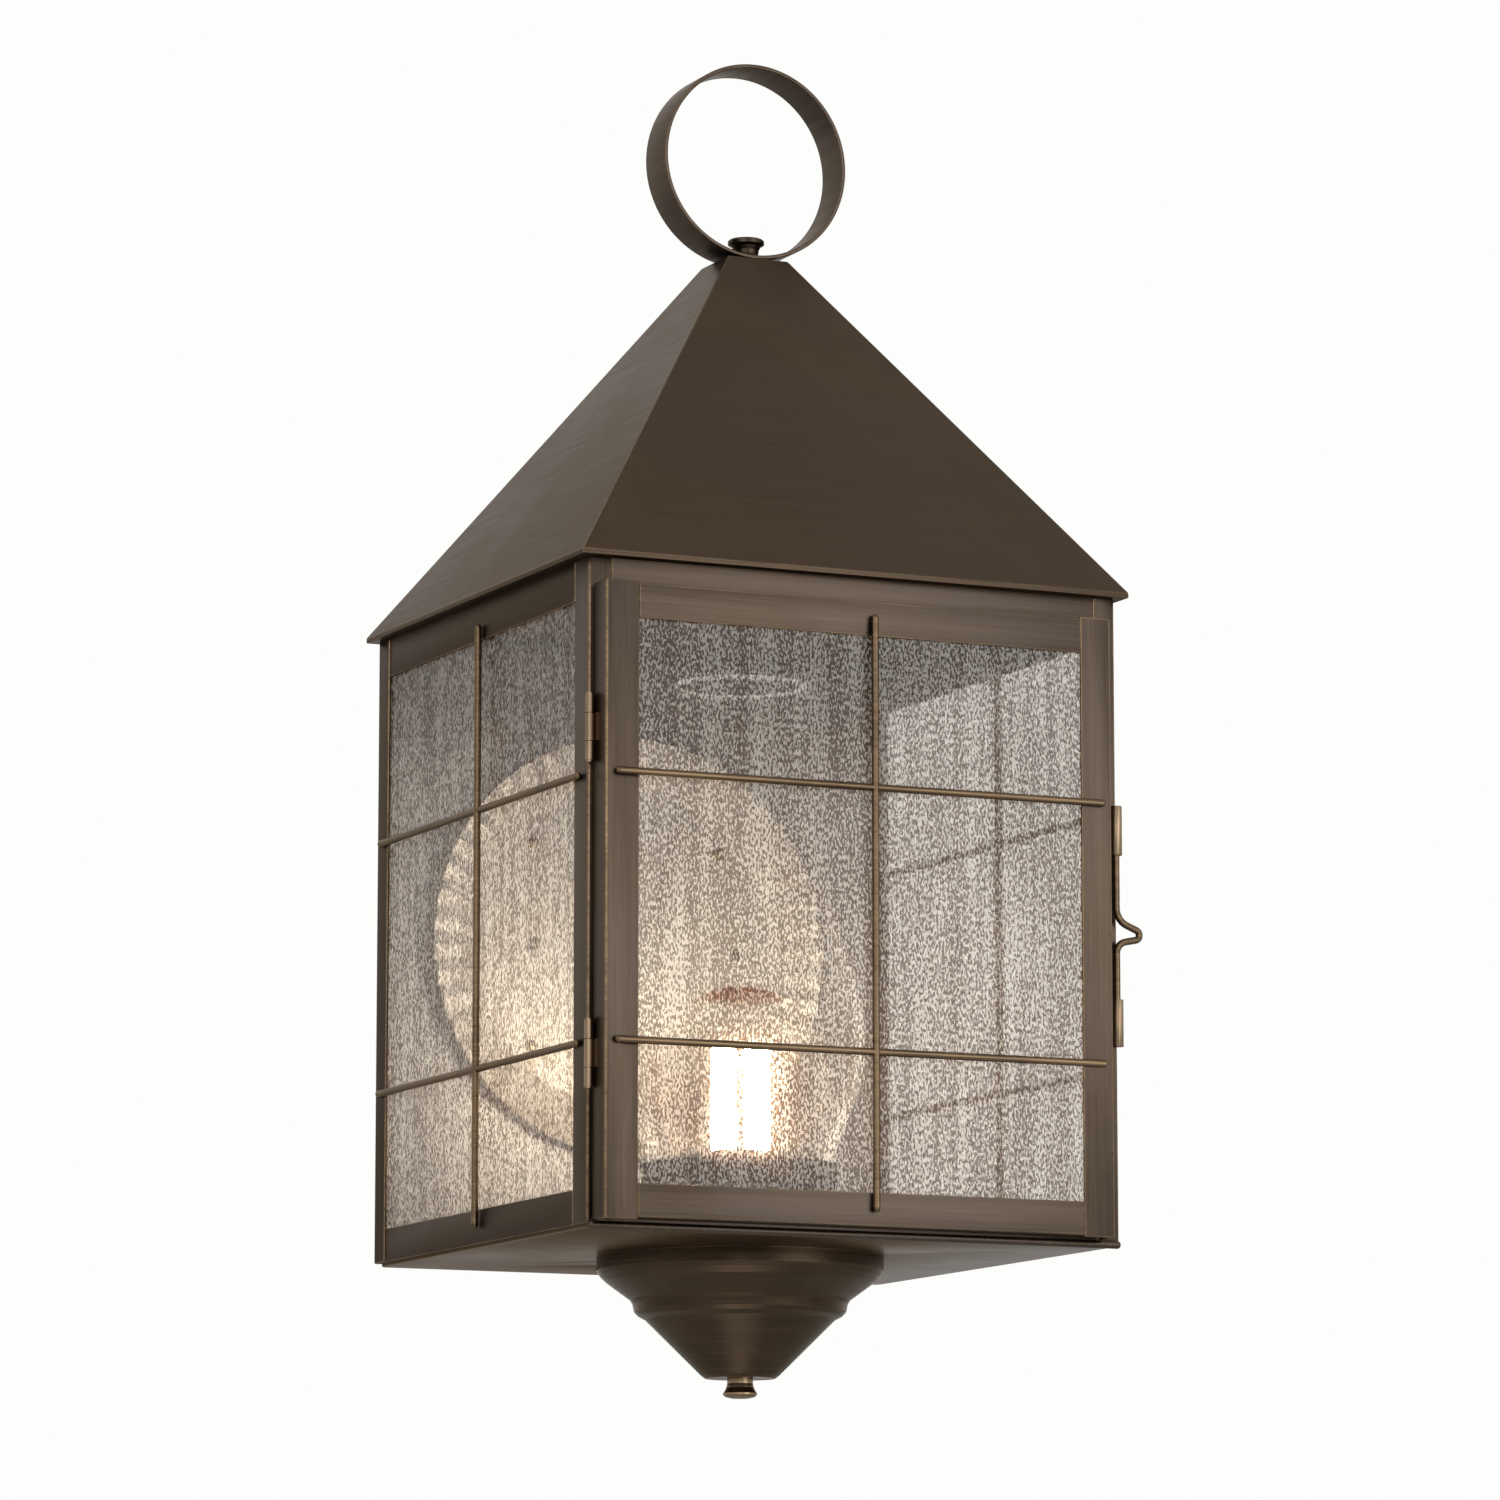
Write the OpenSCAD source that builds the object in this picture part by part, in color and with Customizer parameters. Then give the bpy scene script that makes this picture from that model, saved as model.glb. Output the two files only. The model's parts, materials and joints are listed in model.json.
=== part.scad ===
// Colonial style wall lantern with a hinged glazed door, a pyramid roof and a strap ring.
// Units are millimetres and +Z is up. The wall is the plane y = 0 and the lantern stands out
// along -Y. The origin is the centre of the two wall screws on the wall plate's flat back.
// Inside place(), x = 0 is the middle of the body, y = 0 the front face of the front posts
// and z = 0 the foot of the corner posts.

/* [Body] */
// Width of the body over its side rails
body_w = 220; // [190:1:260]
// Depth of the body from the front posts' face to the rear posts' back
body_d = 210; // [190:1:250]
// Height of the corner posts
body_h = 248; // [240:1:300]
// Thickness of the brass sheet of posts, rails and door frame
sheet_t = 1.2; // [0.9:0.1:1.6]
// Outer radius of a bent sheet corner
bend_r = 1; // [0.4:0.1:1.2]
// Width of a front post's front leg
post_front_leg = 9.2; // [9:0.1:14]
// Width of a front post's side leg
post_side_leg = 13.2; // [9:0.1:18]
// Width of both legs of a rear post
rear_leg = 10.8; // [9:0.1:16]
// How far the rear posts stand proud of the side rails
rear_proud = 0.4; // [0.1:0.1:0.8]
// Height of the header between the front posts
header_h = 9.4; // [6:0.1:14]
// Height of the sill between the front posts
sill_h = 9; // [6:0.1:12]
// Height of a side's bottom rail
side_bottom_h = 13.1; // [13:0.1:20]
// Height of a side's top rail
side_top_h = 15.5; // [13:0.1:20]
// Thickness of the back panel
panel_t = 1.2; // [0.8:0.1:1.6]

/* [Bottom pan] */
// How far the pan hangs below the posts' feet
pan_drop = 1.4; // [1:0.1:3]
// Thickness of the pan
pan_t = 1; // [0.8:0.1:1.4]
// Height of the pan's upturned lip above the posts' feet
pan_lip = 8; // [5:0.5:9]
// Radius of the pan's corners in plan
pan_corner_r = 3; // [1.5:0.5:5]

/* [Wall plate] */
// Depth of the wall plate, from the wall to the back panel
plate_depth = 7.2; // [6:0.1:15]
// Width of the wall plate
plate_w = 124; // [112:1:160]
// Height of the wall plate
plate_h = 176; // [172:1:200]
// Radius of the wall plate's corners
plate_corner_r = 8; // [4:1:12]
// Thickness of the wall plate
plate_t = 1.5; // [1:0.1:2]
// Height of the wall screws above the posts' feet
screw_up = 130; // [125:1:135]
// Distance between the two wall screws
screw_spacing = 88.9; // [80:0.1:94]
// Radius of a wall screw's hole
screw_hole_r = 2.6; // [2:0.1:3]
// Outer radius of a spacer tube round a wall screw
spacer_r = 5; // [4:0.1:6.5]
// Radius of the wire entry through its grommet
wire_r = 5; // [3.5:0.1:6.5]
// Wall of the grommets
grommet_wall = 1.5; // [1:0.1:2.5]
// Width of a grommet's flanges beyond its neck
grommet_flange = 2; // [1:0.1:3]
// Thickness of a grommet's flanges
grommet_flange_t = 1; // [0.6:0.1:1.5]
// Radius of the lead holes in the two small grommets
lead_r = 2.6; // [1.5:0.1:3]
// Height above the wall plate's lower edge where the leads pass the back panel
lead_edge = 12; // [11:0.5:13]

/* [Reflector] */
// Outer radius of the fluted reflector
reflector_r = 85; // [82:0.5:88]
// Distance from the reflector's flat middle to the lead grommet below it
reflector_gap = 4.9; // [3:0.1:8]
// How far the reflector's rim stands forward of its flat
reflector_dish = 6; // [4:0.1:9]
// Thickness of the reflector
reflector_t = 0.8; // [0.6:0.1:1.2]
// Depth of the flutes at the rim
flute_depth = 1; // [0.4:0.1:1.6]
// Number of flutes round the rim
flutes = 48; // [36:4:60]
// How far left of the middle the reflector is fixed
reflector_left = 4; // [0:0.5:6]

/* [Roof] */
// Overhang of the eaves beyond the body
eave = 4.2; // [3:0.1:9]
// Height of the roof from eaves to flat top
roof_h = 142; // [120:1:180]
// Half width of the roof's flat top
roof_top = 12.8; // [12:0.1:18]
// How far the roof's top stands forward of the body's middle
roof_forward = 4; // [0:0.5:8]
// Height of the hem round the eaves
hem_h = 2; // [1.1:0.1:2.5]
// Thickness of the roof sheet
roof_t = 1; // [0.8:0.1:1.3]
// How far the soffit reaches in past the body's outer face
soffit_in = 3.5; // [2:0.1:6]

/* [Ring] */
// Outer radius of the strap ring
ring_r = 39.3; // [30:0.1:50]
// Width of the strap
ring_w = 18.5; // [14:0.1:24]
// Thickness of the strap
ring_t = 1.6; // [1.2:0.1:2.4]
// Bevel along the strap's edges
ring_bevel = 0.4; // [0.2:0.1:0.6]
// How far right of the middle the top hole is
top_hole_x = 0.6; // [0:0.1:2]
// Radius of the stud through roof and ring
ring_stud_r = 2.5; // [2:0.1:3.5]
// Thickness of the washer under the ring
ring_washer_t = 0.7; // [0.5:0.1:2]
// Radius of the washer under the ring
ring_washer_r = 7.5; // [6:0.1:9]
// Radius of the neck of the knob in the ring
ring_knob_neck_r = 4.9; // [4.5:0.1:6.5]
// Radius of the flange of the knob in the ring
ring_knob_r = 7.2; // [6.8:0.1:9]
// Height of the knob in the ring
ring_knob_h = 7.7; // [7:0.1:14]
// Thickness of the hexagon nuts
nut_t = 4.5; // [3:0.1:6]

/* [Door] */
// How far the door's front face stands before the posts
door_proud = 12.45; // [10:0.05:16]
// Gap between the door's rear edges and the posts
door_gap = 0.9; // [0.9:0.1:1.2]
// Inset of the door's left edge from the body's left face
door_left_in = 1.7; // [1.6:0.1:4]
// Inset of the door's right edge from the body's right face
door_right_in = 8.3; // [8:0.1:12]
// Height of the door's foot above the posts' feet
door_foot = 0.9; // [0.5:0.1:2]
// How far the door's head stays below the posts' heads
door_head = 10.4; // [8:0.1:14]
// Width of the door's left stile
left_stile_w = 13.5; // [10:0.1:18]
// Width of the door's right stile
right_stile_w = 12.9; // [10:0.1:18]
// Height of the door's top rail
door_top_h = 13; // [10:0.1:18]
// Height of the door's bottom rail
door_bottom_h = 12.4; // [10:0.1:18]
// How much the door's rails stand back from the ends of its stiles
rail_back = 0.9; // [0.3:0.1:1.5]

/* [Glass] */
// Thickness of the seeded glass panes
glass_t = 2.5; // [2:0.1:3]
// How far a side pane reaches behind its posts and rails
pane_overlap = 8.5; // [5:0.5:9]
// Play of the door's pane beside the door's flanges
pane_play = 0.8; // [0.4:0.1:1.2]
// Thickness of the glass clips
clip_t = 0.8; // [0.6:0.1:1]
// Width of a glass clip
clip_w = 8; // [5:1:14]
// Reach of a glass clip over its pane
clip_reach = 4.5; // [3:0.1:5]
// Distance of each glass clip from the middle of its pane
clip_off = 62; // [40:1:70]

/* [Muntins] */
// Radius of the muntin wires and of the latch wire
wire_rad = 1.375; // [1:0.025:1.4]
// Distance of the horizontal wires' ends from the door's sides
door_wire_end = 3.4; // [2:0.1:6]
// Distance of the vertical wires' ends from the door's and the rails' ends
wire_end = 5.8; // [4:0.1:8]
// Height of the upper horizontal wires above the posts' feet
upper_wire_z = 166; // [160:1:168]
// Height of the lower horizontal wires above the posts' feet
lower_wire_z = 66.5; // [60:0.5:75]
// How far the vertical wires stand out before the horizontal ones
wire_lift = 0.35; // [0:0.05:0.6]
// How far right of the body's middle the door's vertical wire is
door_wire_x = 1; // [-6:0.5:6]
// How far the side wires' ends stay from the body's front and back
side_wire_end = 5; // [3:0.1:7]

/* [Hinges] */
// Radius of the hinge barrels
barrel_r = 1.7; // [1.5:0.1:1.7]
// Radius of the hinge pins
hinge_pin_r = 0.8; // [0.6:0.05:1]
// Running clearance round the hinge pins and in the latch sleeves
run_gap = 0.05; // [0.02:0.01:0.1]
// Gap between the knuckles
knuckle_gap = 0.3; // [0.2:0.05:0.5]
// Clearance between moving pieces
clear = 0.3; // [0.2:0.05:0.4]
// Distance of the hinge axis before the posts' face
hinge_fwd = 2; // [2:0.1:3]
// Length of the post's knuckles
post_knuckle_h = 7; // [5:0.1:10]
// Length of the door's knuckle
door_knuckle_h = 10.6; // [8:0.1:16]
// Height of the upper hinge's foot above the posts' feet
upper_hinge_z = 170.9; // [170:0.1:190]
// Height of the lower hinge's foot above the posts' feet
lower_hinge_z = 49.8; // [30:0.1:90]
// Width of the hinge leaf on the post
post_leaf_w = 7; // [4:0.1:8]
// Width of the hinge leaf on the door
door_leaf_w = 3.5; // [2.5:0.1:6]
// Thickness of the hinge leaves
leaf_t = 0.6; // [0.4:0.05:0.6]

/* [Latch] */
// Inset of the latch axis from the body's right face
latch_in = 1.5; // [1.4:0.1:3]
// Outer radius of the latch sleeves
sleeve_r = 2.45; // [2.2:0.05:3]
// Length of the lower sleeve
lower_sleeve_h = 18; // [10:0.5:24]
// Length of the upper sleeve
upper_sleeve_h = 19; // [10:0.5:24]
// Height of the latch's nose above the posts' feet
nose_z = 117.8; // [105:0.1:135]
// Distance from the nose to the lower sleeve
nose_to_lower = 25.2; // [20:0.1:35]
// Distance from the nose to the upper sleeve
nose_to_upper = 30.2; // [20:0.1:35]
// Reach of the nose's centre line from the latch axis
nose_reach = 9.8; // [8:0.1:12]
// Radius of the bend in the nose
nose_bend = 2; // [1.42:0.01:2.5]
// Length of the nose's two straight arms
nose_arm = 4.4; // [2:0.1:6]
// Angle between the upper arm and level
nose_spread = 22; // [10:1:30]
// Angle between the lower arm and level
nose_spread_low = 11; // [5:1:30]
// Closed foot of the lower sleeve
sleeve_foot = 1.2; // [0.8:0.1:2]

/* [Bottom cup] */
// Radius of the cup's rim
cup_r = 55.5; // [50:0.5:58]
// Height of the upright band under the cup's rim
cup_band = 5.4; // [3:0.1:7]
// Height of the cup
cup_h = 46.6; // [40:0.1:60]
// Radius of the cup's middle step
cup_step_r = 41.3; // [34:0.1:44]
// Depth of the middle step below the cup's rim
cup_step_z = 18; // [15:0.1:24]
// Radius of the cup's flat foot
cup_foot_r = 13.6; // [10:0.1:18]
// Thickness of the cup
cup_t = 1; // [0.8:0.1:1.4]
// Radius of the knob's waist under the cup
knob_r = 5; // [4.8:0.1:7]
// Radius of the knob's widest part
knob_max_r = 6.6; // [6.2:0.1:9]
// Height of the knob
knob_h = 7.8; // [7:0.1:12]

/* [Lamp] */
// Radius of the lamp rod
rod_r = 4; // [3.6:0.1:4.5]
// Radius of the lead way inside the lamp rod
rod_bore_r = 2.2; // [1.5:0.1:2.5]
// Outer radius of the lamp socket
socket_r = 16; // [15.2:0.1:18]
// Height of the lamp socket
socket_h = 23; // [18:0.5:26]
// Radius of the bulb's screw base
base_r = 13; // [12:0.1:13.2]
// Height of the bulb's screw base
base_h = 23.2; // [20:0.1:26]
// Thickness of the metal liner of the socket
liner_t = 0.6; // [0.4:0.1:0.8]
// Radius of the bulb's globe
globe_r = 34.8; // [26:0.1:34.8]
// Height of the globe's centre above the bulb's screw base
globe_up = 31; // [28:0.1:36]
// Thickness of the bulb's glass
bulb_t = 0.8; // [0.5:0.1:1.2]
// Radius of the glowing core
core_r = 12.2; // [6:0.1:12.2]
// Height of the glowing core
core_h = 41; // [30:0.5:44]

/* [Chimney] */
// Height of the glass chimney
chimney_h = 195; // [185:1:200]
// Thickness of the chimney's glass
chimney_t = 1.6; // [1.2:0.1:2]
// Thickness of the chimney's foot
chimney_foot_t = 1.2; // [1:0.1:1.2]
// Outer radius of the chimney's foot
chimney_foot_r = 36.5; // [36.5:0.1:40]
// Outer radius of the chimney's belly
chimney_belly_r = 48.6; // [46:0.1:52]
// Outer radius of the chimney's neck
chimney_neck_r = 25; // [20:0.1:30]
// Outer radius of the chimney's rim
chimney_rim_r = 26; // [21:0.1:31]
// Height of the gallery's rim
gallery_h = 7; // [4:0.5:8]
// Thickness of the gallery
gallery_t = 1.2; // [0.8:0.1:1.6]
// Play of the chimney's foot in the gallery
gallery_play = 0.4; // [0.3:0.1:0.8]
// Height of the ring that holds the gallery
shade_ring_h = 3.4; // [2:0.1:5]

/* [Hidden] */
$fn = 48;
half_w = body_w / 2;
wall_y = body_d + plate_depth - sheet_t;
in_x = half_w - sheet_t;
panel_back = body_d - sheet_t;
panel_front = panel_back - panel_t;
lamp_y = body_d / 2;
pan_floor = pan_t - pan_drop;
lead_down = plate_h / 2 - lead_edge;
reflector_flat_r = lead_down - lead_r - grommet_wall - grommet_flange - reflector_gap;
solid_overlap = 0.2;

door_left = -half_w + door_left_in;
door_right = half_w - door_right_in;
door_z1 = body_h - door_head;
door_front = -door_proud;
door_back = -door_gap;
door_in = door_front + sheet_t;
opening_left = door_left + left_stile_w;
opening_right = door_right - right_stile_w;

hinge_x = door_left - barrel_r - clear;
hinge_y = -hinge_fwd;
hinge_h = 2 * post_knuckle_h + door_knuckle_h;
hinge_feet = [lower_hinge_z, upper_hinge_z];

latch_x = half_w - latch_in;
latch_y = -sleeve_r;
lower_sleeve_top = nose_z - nose_to_lower;
lower_sleeve_foot = lower_sleeve_top - lower_sleeve_h;
upper_sleeve_foot = nose_z + nose_to_upper;
upper_sleeve_top = upper_sleeve_foot + upper_sleeve_h;

roof_y = lamp_y - roof_forward;
roof_z1 = body_h + roof_h;
ring_foot = roof_z1 + ring_washer_t;
ring_z = ring_foot + ring_r;
ring_seat = ring_foot + ring_t;

cup_foot = -pan_drop - cup_h;
knob_bore = knob_h * 0.55;
rod_foot = cup_foot - knob_bore;

washer_t = 1;
rod_nut_z = pan_floor + washer_t;
cap_gap = 0.9;
cap_z = rod_nut_z + nut_t + cap_gap;
cap_h = 4;
socket_z = cap_z + cap_h;
socket_floor = 3;
socket_top = socket_z + socket_h;
socket_bore_r = base_r + clear + liner_t;
shoulder_h = 2.4;
shoulder_r = socket_r + 3;
gallery_z = socket_top - shade_ring_h - gallery_t - shoulder_h;
gallery_floor = gallery_z + gallery_t;
contact_h = 1.5;
base_z = socket_z + socket_floor + contact_h + clear;
base_top = base_z + base_h;
globe_z = base_top + globe_up;
plug_h = 1.5;
core_z = base_top + plug_h;
chimney_z = gallery_floor + clear;

// Points of a smooth curve through the points p, with n steps between two of them.
function spline_at(a, b, c, d, t) =
    0.5 * (2 * b + (c - a) * t + (2 * a - 5 * b + 4 * c - d) * t * t
    + (3 * b - a - 3 * c + d) * t * t * t);
function smooth(p, n) = [
    for (i = [0 : len(p) - 2], k = [0 : n - 1])
        spline_at(p[max(i - 1, 0)], p[i], p[i + 1], p[min(i + 2, len(p) - 1)], k / n),
    p[len(p) - 1]
];

// Moves the lantern from the middle of its front edge to its origin at the wall.
module place() {
    translate([0, -wall_y, -screw_up]) children();
}

module mirrored(right) {
    if (right) mirror([1, 0, 0]) children();
    else children();
}

module box(low, high) {
    translate(low) cube(high - low);
}

module ring_of(r, bore, h) {
    difference() {
        cylinder(r = r, h = h);
        translate([0, 0, -1]) cylinder(r = bore, h = h + 2);
    }
}

// An angle of bent sheet whose outer corner is at the origin.
module angle_profile(leg_x, leg_y) {
    difference() {
        union() {
            translate([bend_r, bend_r]) circle(bend_r);
            translate([bend_r, 0]) square([leg_x - bend_r, sheet_t]);
            translate([0, bend_r]) square([sheet_t, leg_y - bend_r]);
        }
        translate([sheet_t, sheet_t]) square([leg_x, leg_y]);
    }
}

module round_rect(w, h, r) {
    union() {
        square([w - 2 * r, h], center = true);
        square([w, h - 2 * r], center = true);
        for (x = [-1, 1], y = [-1, 1])
            translate([x * (w / 2 - r), y * (h / 2 - r)]) circle(r);
    }
}

// A wire with round ends from a to a point h further along +Z.
module wire(h) {
    cylinder(r = wire_rad, h = h);
    sphere(wire_rad);
    translate([0, 0, h]) sphere(wire_rad);
}

module wire_x(x0, x1, y, z) {
    translate([x0 + wire_rad, y, z]) rotate([0, 90, 0]) wire(x1 - x0 - 2 * wire_rad);
}

module wire_y(x, y0, y1, z) {
    translate([x, y1 - wire_rad, z]) rotate([90, 0, 0]) wire(y1 - y0 - 2 * wire_rad);
}

module wire_z(x, y, z0, z1) {
    translate([x, y, z0 + wire_rad]) wire(z1 - z0 - 2 * wire_rad);
}

module hex_nut(r, bore, h) {
    difference() {
        cylinder(r = r, h = h, $fn = 6);
        translate([0, 0, -1]) cylinder(r = bore, h = h + 2);
    }
}

// A flanged bush whose neck passes a sheet from z = 0 to z = t.
module grommet(bore, t) {
    neck = bore + grommet_wall;
    difference() {
        union() {
            translate([0, 0, -grommet_flange_t])
                cylinder(r = neck + grommet_flange, h = grommet_flange_t);
            cylinder(r = neck, h = t);
            translate([0, 0, t]) cylinder(r = neck + grommet_flange, h = grommet_flange_t);
        }
        translate([0, 0, -grommet_flange_t - 1])
            cylinder(r = bore, h = t + 2 * grommet_flange_t + 2);
    }
}

// Children at both wall screws, with their +Z pointing away from the wall.
module at_screws(y) {
    for (x = [-1, 1])
        translate([x * screw_spacing / 2, y, screw_up]) rotate([90, 0, 0]) children();
}

module wall_plate() {
    color([0.30, 0.27, 0.24]) place() difference() {
        translate([0, wall_y, screw_up]) rotate([90, 0, 0]) difference() {
            linear_extrude(plate_depth) round_rect(plate_w, plate_h, plate_corner_r);
            translate([0, 0, plate_t]) linear_extrude(plate_depth)
                round_rect(plate_w - 2 * plate_t, plate_h - 2 * plate_t, plate_corner_r - plate_t);
        }
        at_screws(wall_y + 1) cylinder(r = screw_hole_r, h = plate_t + 2);
        translate([0, wall_y + 1, screw_up]) rotate([90, 0, 0])
            cylinder(r = wire_r + grommet_wall, h = plate_t + 2);
    }
}

module wall_screw_spacers() {
    color([0.62, 0.58, 0.48]) place() at_screws(wall_y - plate_t)
        ring_of(spacer_r, screw_hole_r, plate_depth - plate_t);
}

// The flange on the wall side lies in the plane of the plate's back, so it is left off there.
module wire_entry_grommet() {
    neck = wire_r + grommet_wall;
    color([0.12, 0.12, 0.12]) place() translate([0, wall_y, screw_up]) rotate([90, 0, 0])
        difference() {
            union() {
                cylinder(r = neck, h = plate_t + grommet_flange_t);
                translate([0, 0, plate_t]) cylinder(r = neck + grommet_flange, h = grommet_flange_t);
            }
            translate([0, 0, -1]) cylinder(r = wire_r, h = plate_t + grommet_flange_t + 2);
        }
}

module back_panel() {
    side = half_w + rear_proud - sheet_t;
    color([0.36, 0.32, 0.27]) place() difference() {
        box([-side, panel_front, 0], [side, panel_back, body_h]);
        at_screws(panel_back + 1) cylinder(r = screw_hole_r, h = panel_t + 2);
        translate([0, panel_back + 1, screw_up - lead_down]) rotate([90, 0, 0])
            cylinder(r = lead_r + grommet_wall, h = panel_t + 2);
    }
}

lead_back = 33.3;
lead_y = lamp_y + lead_back;

module lead_grommets() {
    color([0.12, 0.12, 0.12]) place() {
        translate([0, panel_back, screw_up - lead_down]) rotate([90, 0, 0])
            grommet(lead_r, panel_t);
        translate([0, lead_y, -pan_drop]) grommet(lead_r, pan_t);
    }
}

// One ring of the reflector's rim at radius r, dished and fluted towards the edge.
function rim_ring(r, lift) = [
    for (i = [0 : 4 * flutes - 1])
        let (k = (r - reflector_flat_r) / (reflector_r - reflector_flat_r),
             a = 90 * i / flutes)
        [r * cos(a), r * sin(a), lift + reflector_dish * k + flute_depth * k * sin(90 * i)]
];

module reflector_rim() {
    n = 4 * flutes;
    start = reflector_flat_r;
    middle = (reflector_flat_r + reflector_r) / 2;
    rings = [
        rim_ring(start, 0), rim_ring(middle, 0), rim_ring(reflector_r, 0),
        rim_ring(reflector_r, reflector_t), rim_ring(middle, reflector_t),
        rim_ring(start, reflector_t)
    ];
    count = len(rings);
    polyhedron(
        points = [for (one = rings) for (p = one) p],
        faces = [
            for (j = [0 : count - 1], i = [0 : n - 1])
                let (a = j * n + i, b = j * n + (i + 1) % n,
                     c = ((j + 1) % count) * n + (i + 1) % n, d = ((j + 1) % count) * n + i)
                each [[a, c, b], [a, d, c]]
        ]
    );
}

module at_reflector() {
    translate([-reflector_left, panel_front, screw_up]) rotate([90, 0, 0]) children();
}

module reflector() {
    color([0.72, 0.66, 0.52]) place() {
        difference() {
            at_reflector() cylinder(r = reflector_flat_r + solid_overlap, h = reflector_t);
            at_screws(panel_front + 1) cylinder(r = screw_hole_r, h = reflector_t + 2);
        }
        at_reflector() reflector_rim();
    }
}

rivet_head_r = 2.6;
rivet_head_h = 1.2;
rivet_ball_r = 4.2;
rivet_in = 7;

module reflector_rivets() {
    color([0.5, 0.44, 0.34]) place() at_reflector()
        for (a = [45 : 90 : 315])
            rotate([0, 0, a]) translate([reflector_flat_r - rivet_in, 0, reflector_t])
                intersection() {
                    translate([0, 0, rivet_head_h - rivet_ball_r]) sphere(rivet_ball_r);
                    cylinder(r = rivet_head_r, h = rivet_head_h);
                }
}

module front_post(right) {
    color([0.38, 0.33, 0.28]) place() mirrored(right)
        translate([-half_w, 0, 0]) linear_extrude(body_h)
            angle_profile(post_front_leg, post_side_leg);
}

module rear_post(right) {
    color([0.36, 0.31, 0.27]) place() mirrored(right)
        translate([-half_w - rear_proud, body_d, 0]) mirror([0, 1, 0]) linear_extrude(body_h)
            angle_profile(rear_leg + rear_proud, rear_leg);
}

module front_left_post() { front_post(false); }
module front_right_post() { front_post(true); }
module rear_left_post() { rear_post(false); }
module rear_right_post() { rear_post(true); }

module cross_rail(z0, z1) {
    end = half_w - post_front_leg;
    color([0.38, 0.33, 0.28]) place() box([-end, 0, z0], [end, sheet_t, z1]);
}

module header_rail() { cross_rail(body_h - header_h, body_h); }
module front_sill() { cross_rail(0, sill_h); }

module side_rail(right, z0, z1) {
    color([0.37, 0.32, 0.27]) place() mirrored(right)
        box([-half_w, post_side_leg, z0], [-in_x, body_d - rear_leg, z1]);
}

module left_top_rail() { side_rail(false, body_h - side_top_h, body_h); }
module left_bottom_rail() { side_rail(false, 0, side_bottom_h); }
module right_top_rail() { side_rail(true, body_h - side_top_h, body_h); }
module right_bottom_rail() { side_rail(true, 0, side_bottom_h); }

module bottom_pan() {
    depth = panel_front - sheet_t;
    mid_y = (panel_front + sheet_t) / 2;
    color([0.34, 0.31, 0.28]) place() difference() {
        translate([0, mid_y, -pan_drop]) linear_extrude(pan_drop + pan_lip)
            round_rect(2 * in_x, depth, pan_corner_r);
        translate([0, mid_y, pan_floor]) linear_extrude(pan_drop + pan_lip)
            round_rect(2 * in_x - 2 * pan_t, depth - 2 * pan_t, pan_corner_r - pan_t);
        translate([0, lamp_y, -pan_drop - 1]) cylinder(r = rod_r, h = pan_t + 2);
        translate([0, lead_y, -pan_drop - 1]) cylinder(r = lead_r + grommet_wall, h = pan_t + 2);
    }
}

// A solid pyramid stump between a rectangle at z0 and a smaller one at z1.
module stump(low0, high0, z0, low1, high1, z1) {
    polyhedron(
        points = [
            [low0[0], low0[1], z0], [high0[0], low0[1], z0],
            [high0[0], high0[1], z0], [low0[0], high0[1], z0],
            [low1[0], low1[1], z1], [high1[0], low1[1], z1],
            [high1[0], high1[1], z1], [low1[0], high1[1], z1]
        ],
        faces = [
            [0, 1, 2, 3], [7, 6, 5, 4], [0, 4, 5, 1], [1, 5, 6, 2], [2, 6, 7, 3], [3, 7, 4, 0]
        ]
    );
}

module roof_shell() {
    slope = (half_w + eave - roof_top) / (roof_h - hem_h);
    wall = roof_t * sqrt(1 + slope * slope);
    eave_low = [-half_w - eave, -eave];
    eave_high = [half_w + eave, body_d + eave];
    top_low = [-roof_top, roof_y - roof_top];
    top_high = [roof_top, roof_y + roof_top];
    color([0.27, 0.24, 0.19]) place() difference() {
        union() {
            stump(eave_low, eave_high, body_h + hem_h, top_low, top_high, roof_z1);
            box([each eave_low, body_h], [each eave_high, body_h + hem_h]);
        }
        stump(eave_low + [wall, wall], eave_high - [wall, wall], body_h + hem_h - 0.001,
            top_low + [wall, wall] - slope * [roof_t, roof_t],
            top_high - [wall, wall] + slope * [roof_t, roof_t], roof_z1 - roof_t);
        box([-half_w + soffit_in, soffit_in, body_h - 1],
            [half_w - soffit_in, body_d - soffit_in, body_h + hem_h]);
        translate([top_hole_x, roof_y, roof_z1 - roof_t - 1])
            cylinder(r = ring_stud_r, h = roof_t + 2);
    }
}

module at_top(z) {
    translate([top_hole_x, roof_y, z]) children();
}

module ring_washer() {
    color([0.4, 0.34, 0.27]) place() at_top(roof_z1)
        ring_of(ring_washer_r, ring_stud_r, ring_washer_t);
}

// The strap ring stands on its lowest line, where the stud passes it.
module hanging_ring() {
    edge = ring_w / 2;
    profile = [
        [ring_r - ring_t, -edge + ring_bevel], [ring_r - ring_t + ring_bevel, -edge],
        [ring_r - ring_bevel, -edge], [ring_r, -edge + ring_bevel],
        [ring_r, edge - ring_bevel], [ring_r - ring_bevel, edge],
        [ring_r - ring_t + ring_bevel, edge], [ring_r - ring_t, edge - ring_bevel]
    ];
    color([0.35, 0.29, 0.23]) place() difference() {
        at_top(ring_z) rotate([90, 0, 0]) rotate_extrude() polygon(profile);
        at_top(ring_foot - 1) cylinder(r = ring_stud_r, h = ring_t + 3);
    }
}

ring_knob_bore = 6;
ring_knob_flange = 1.9;
ring_knob_foot = 0.6;
ring_knob_edge = 0.6;

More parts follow.
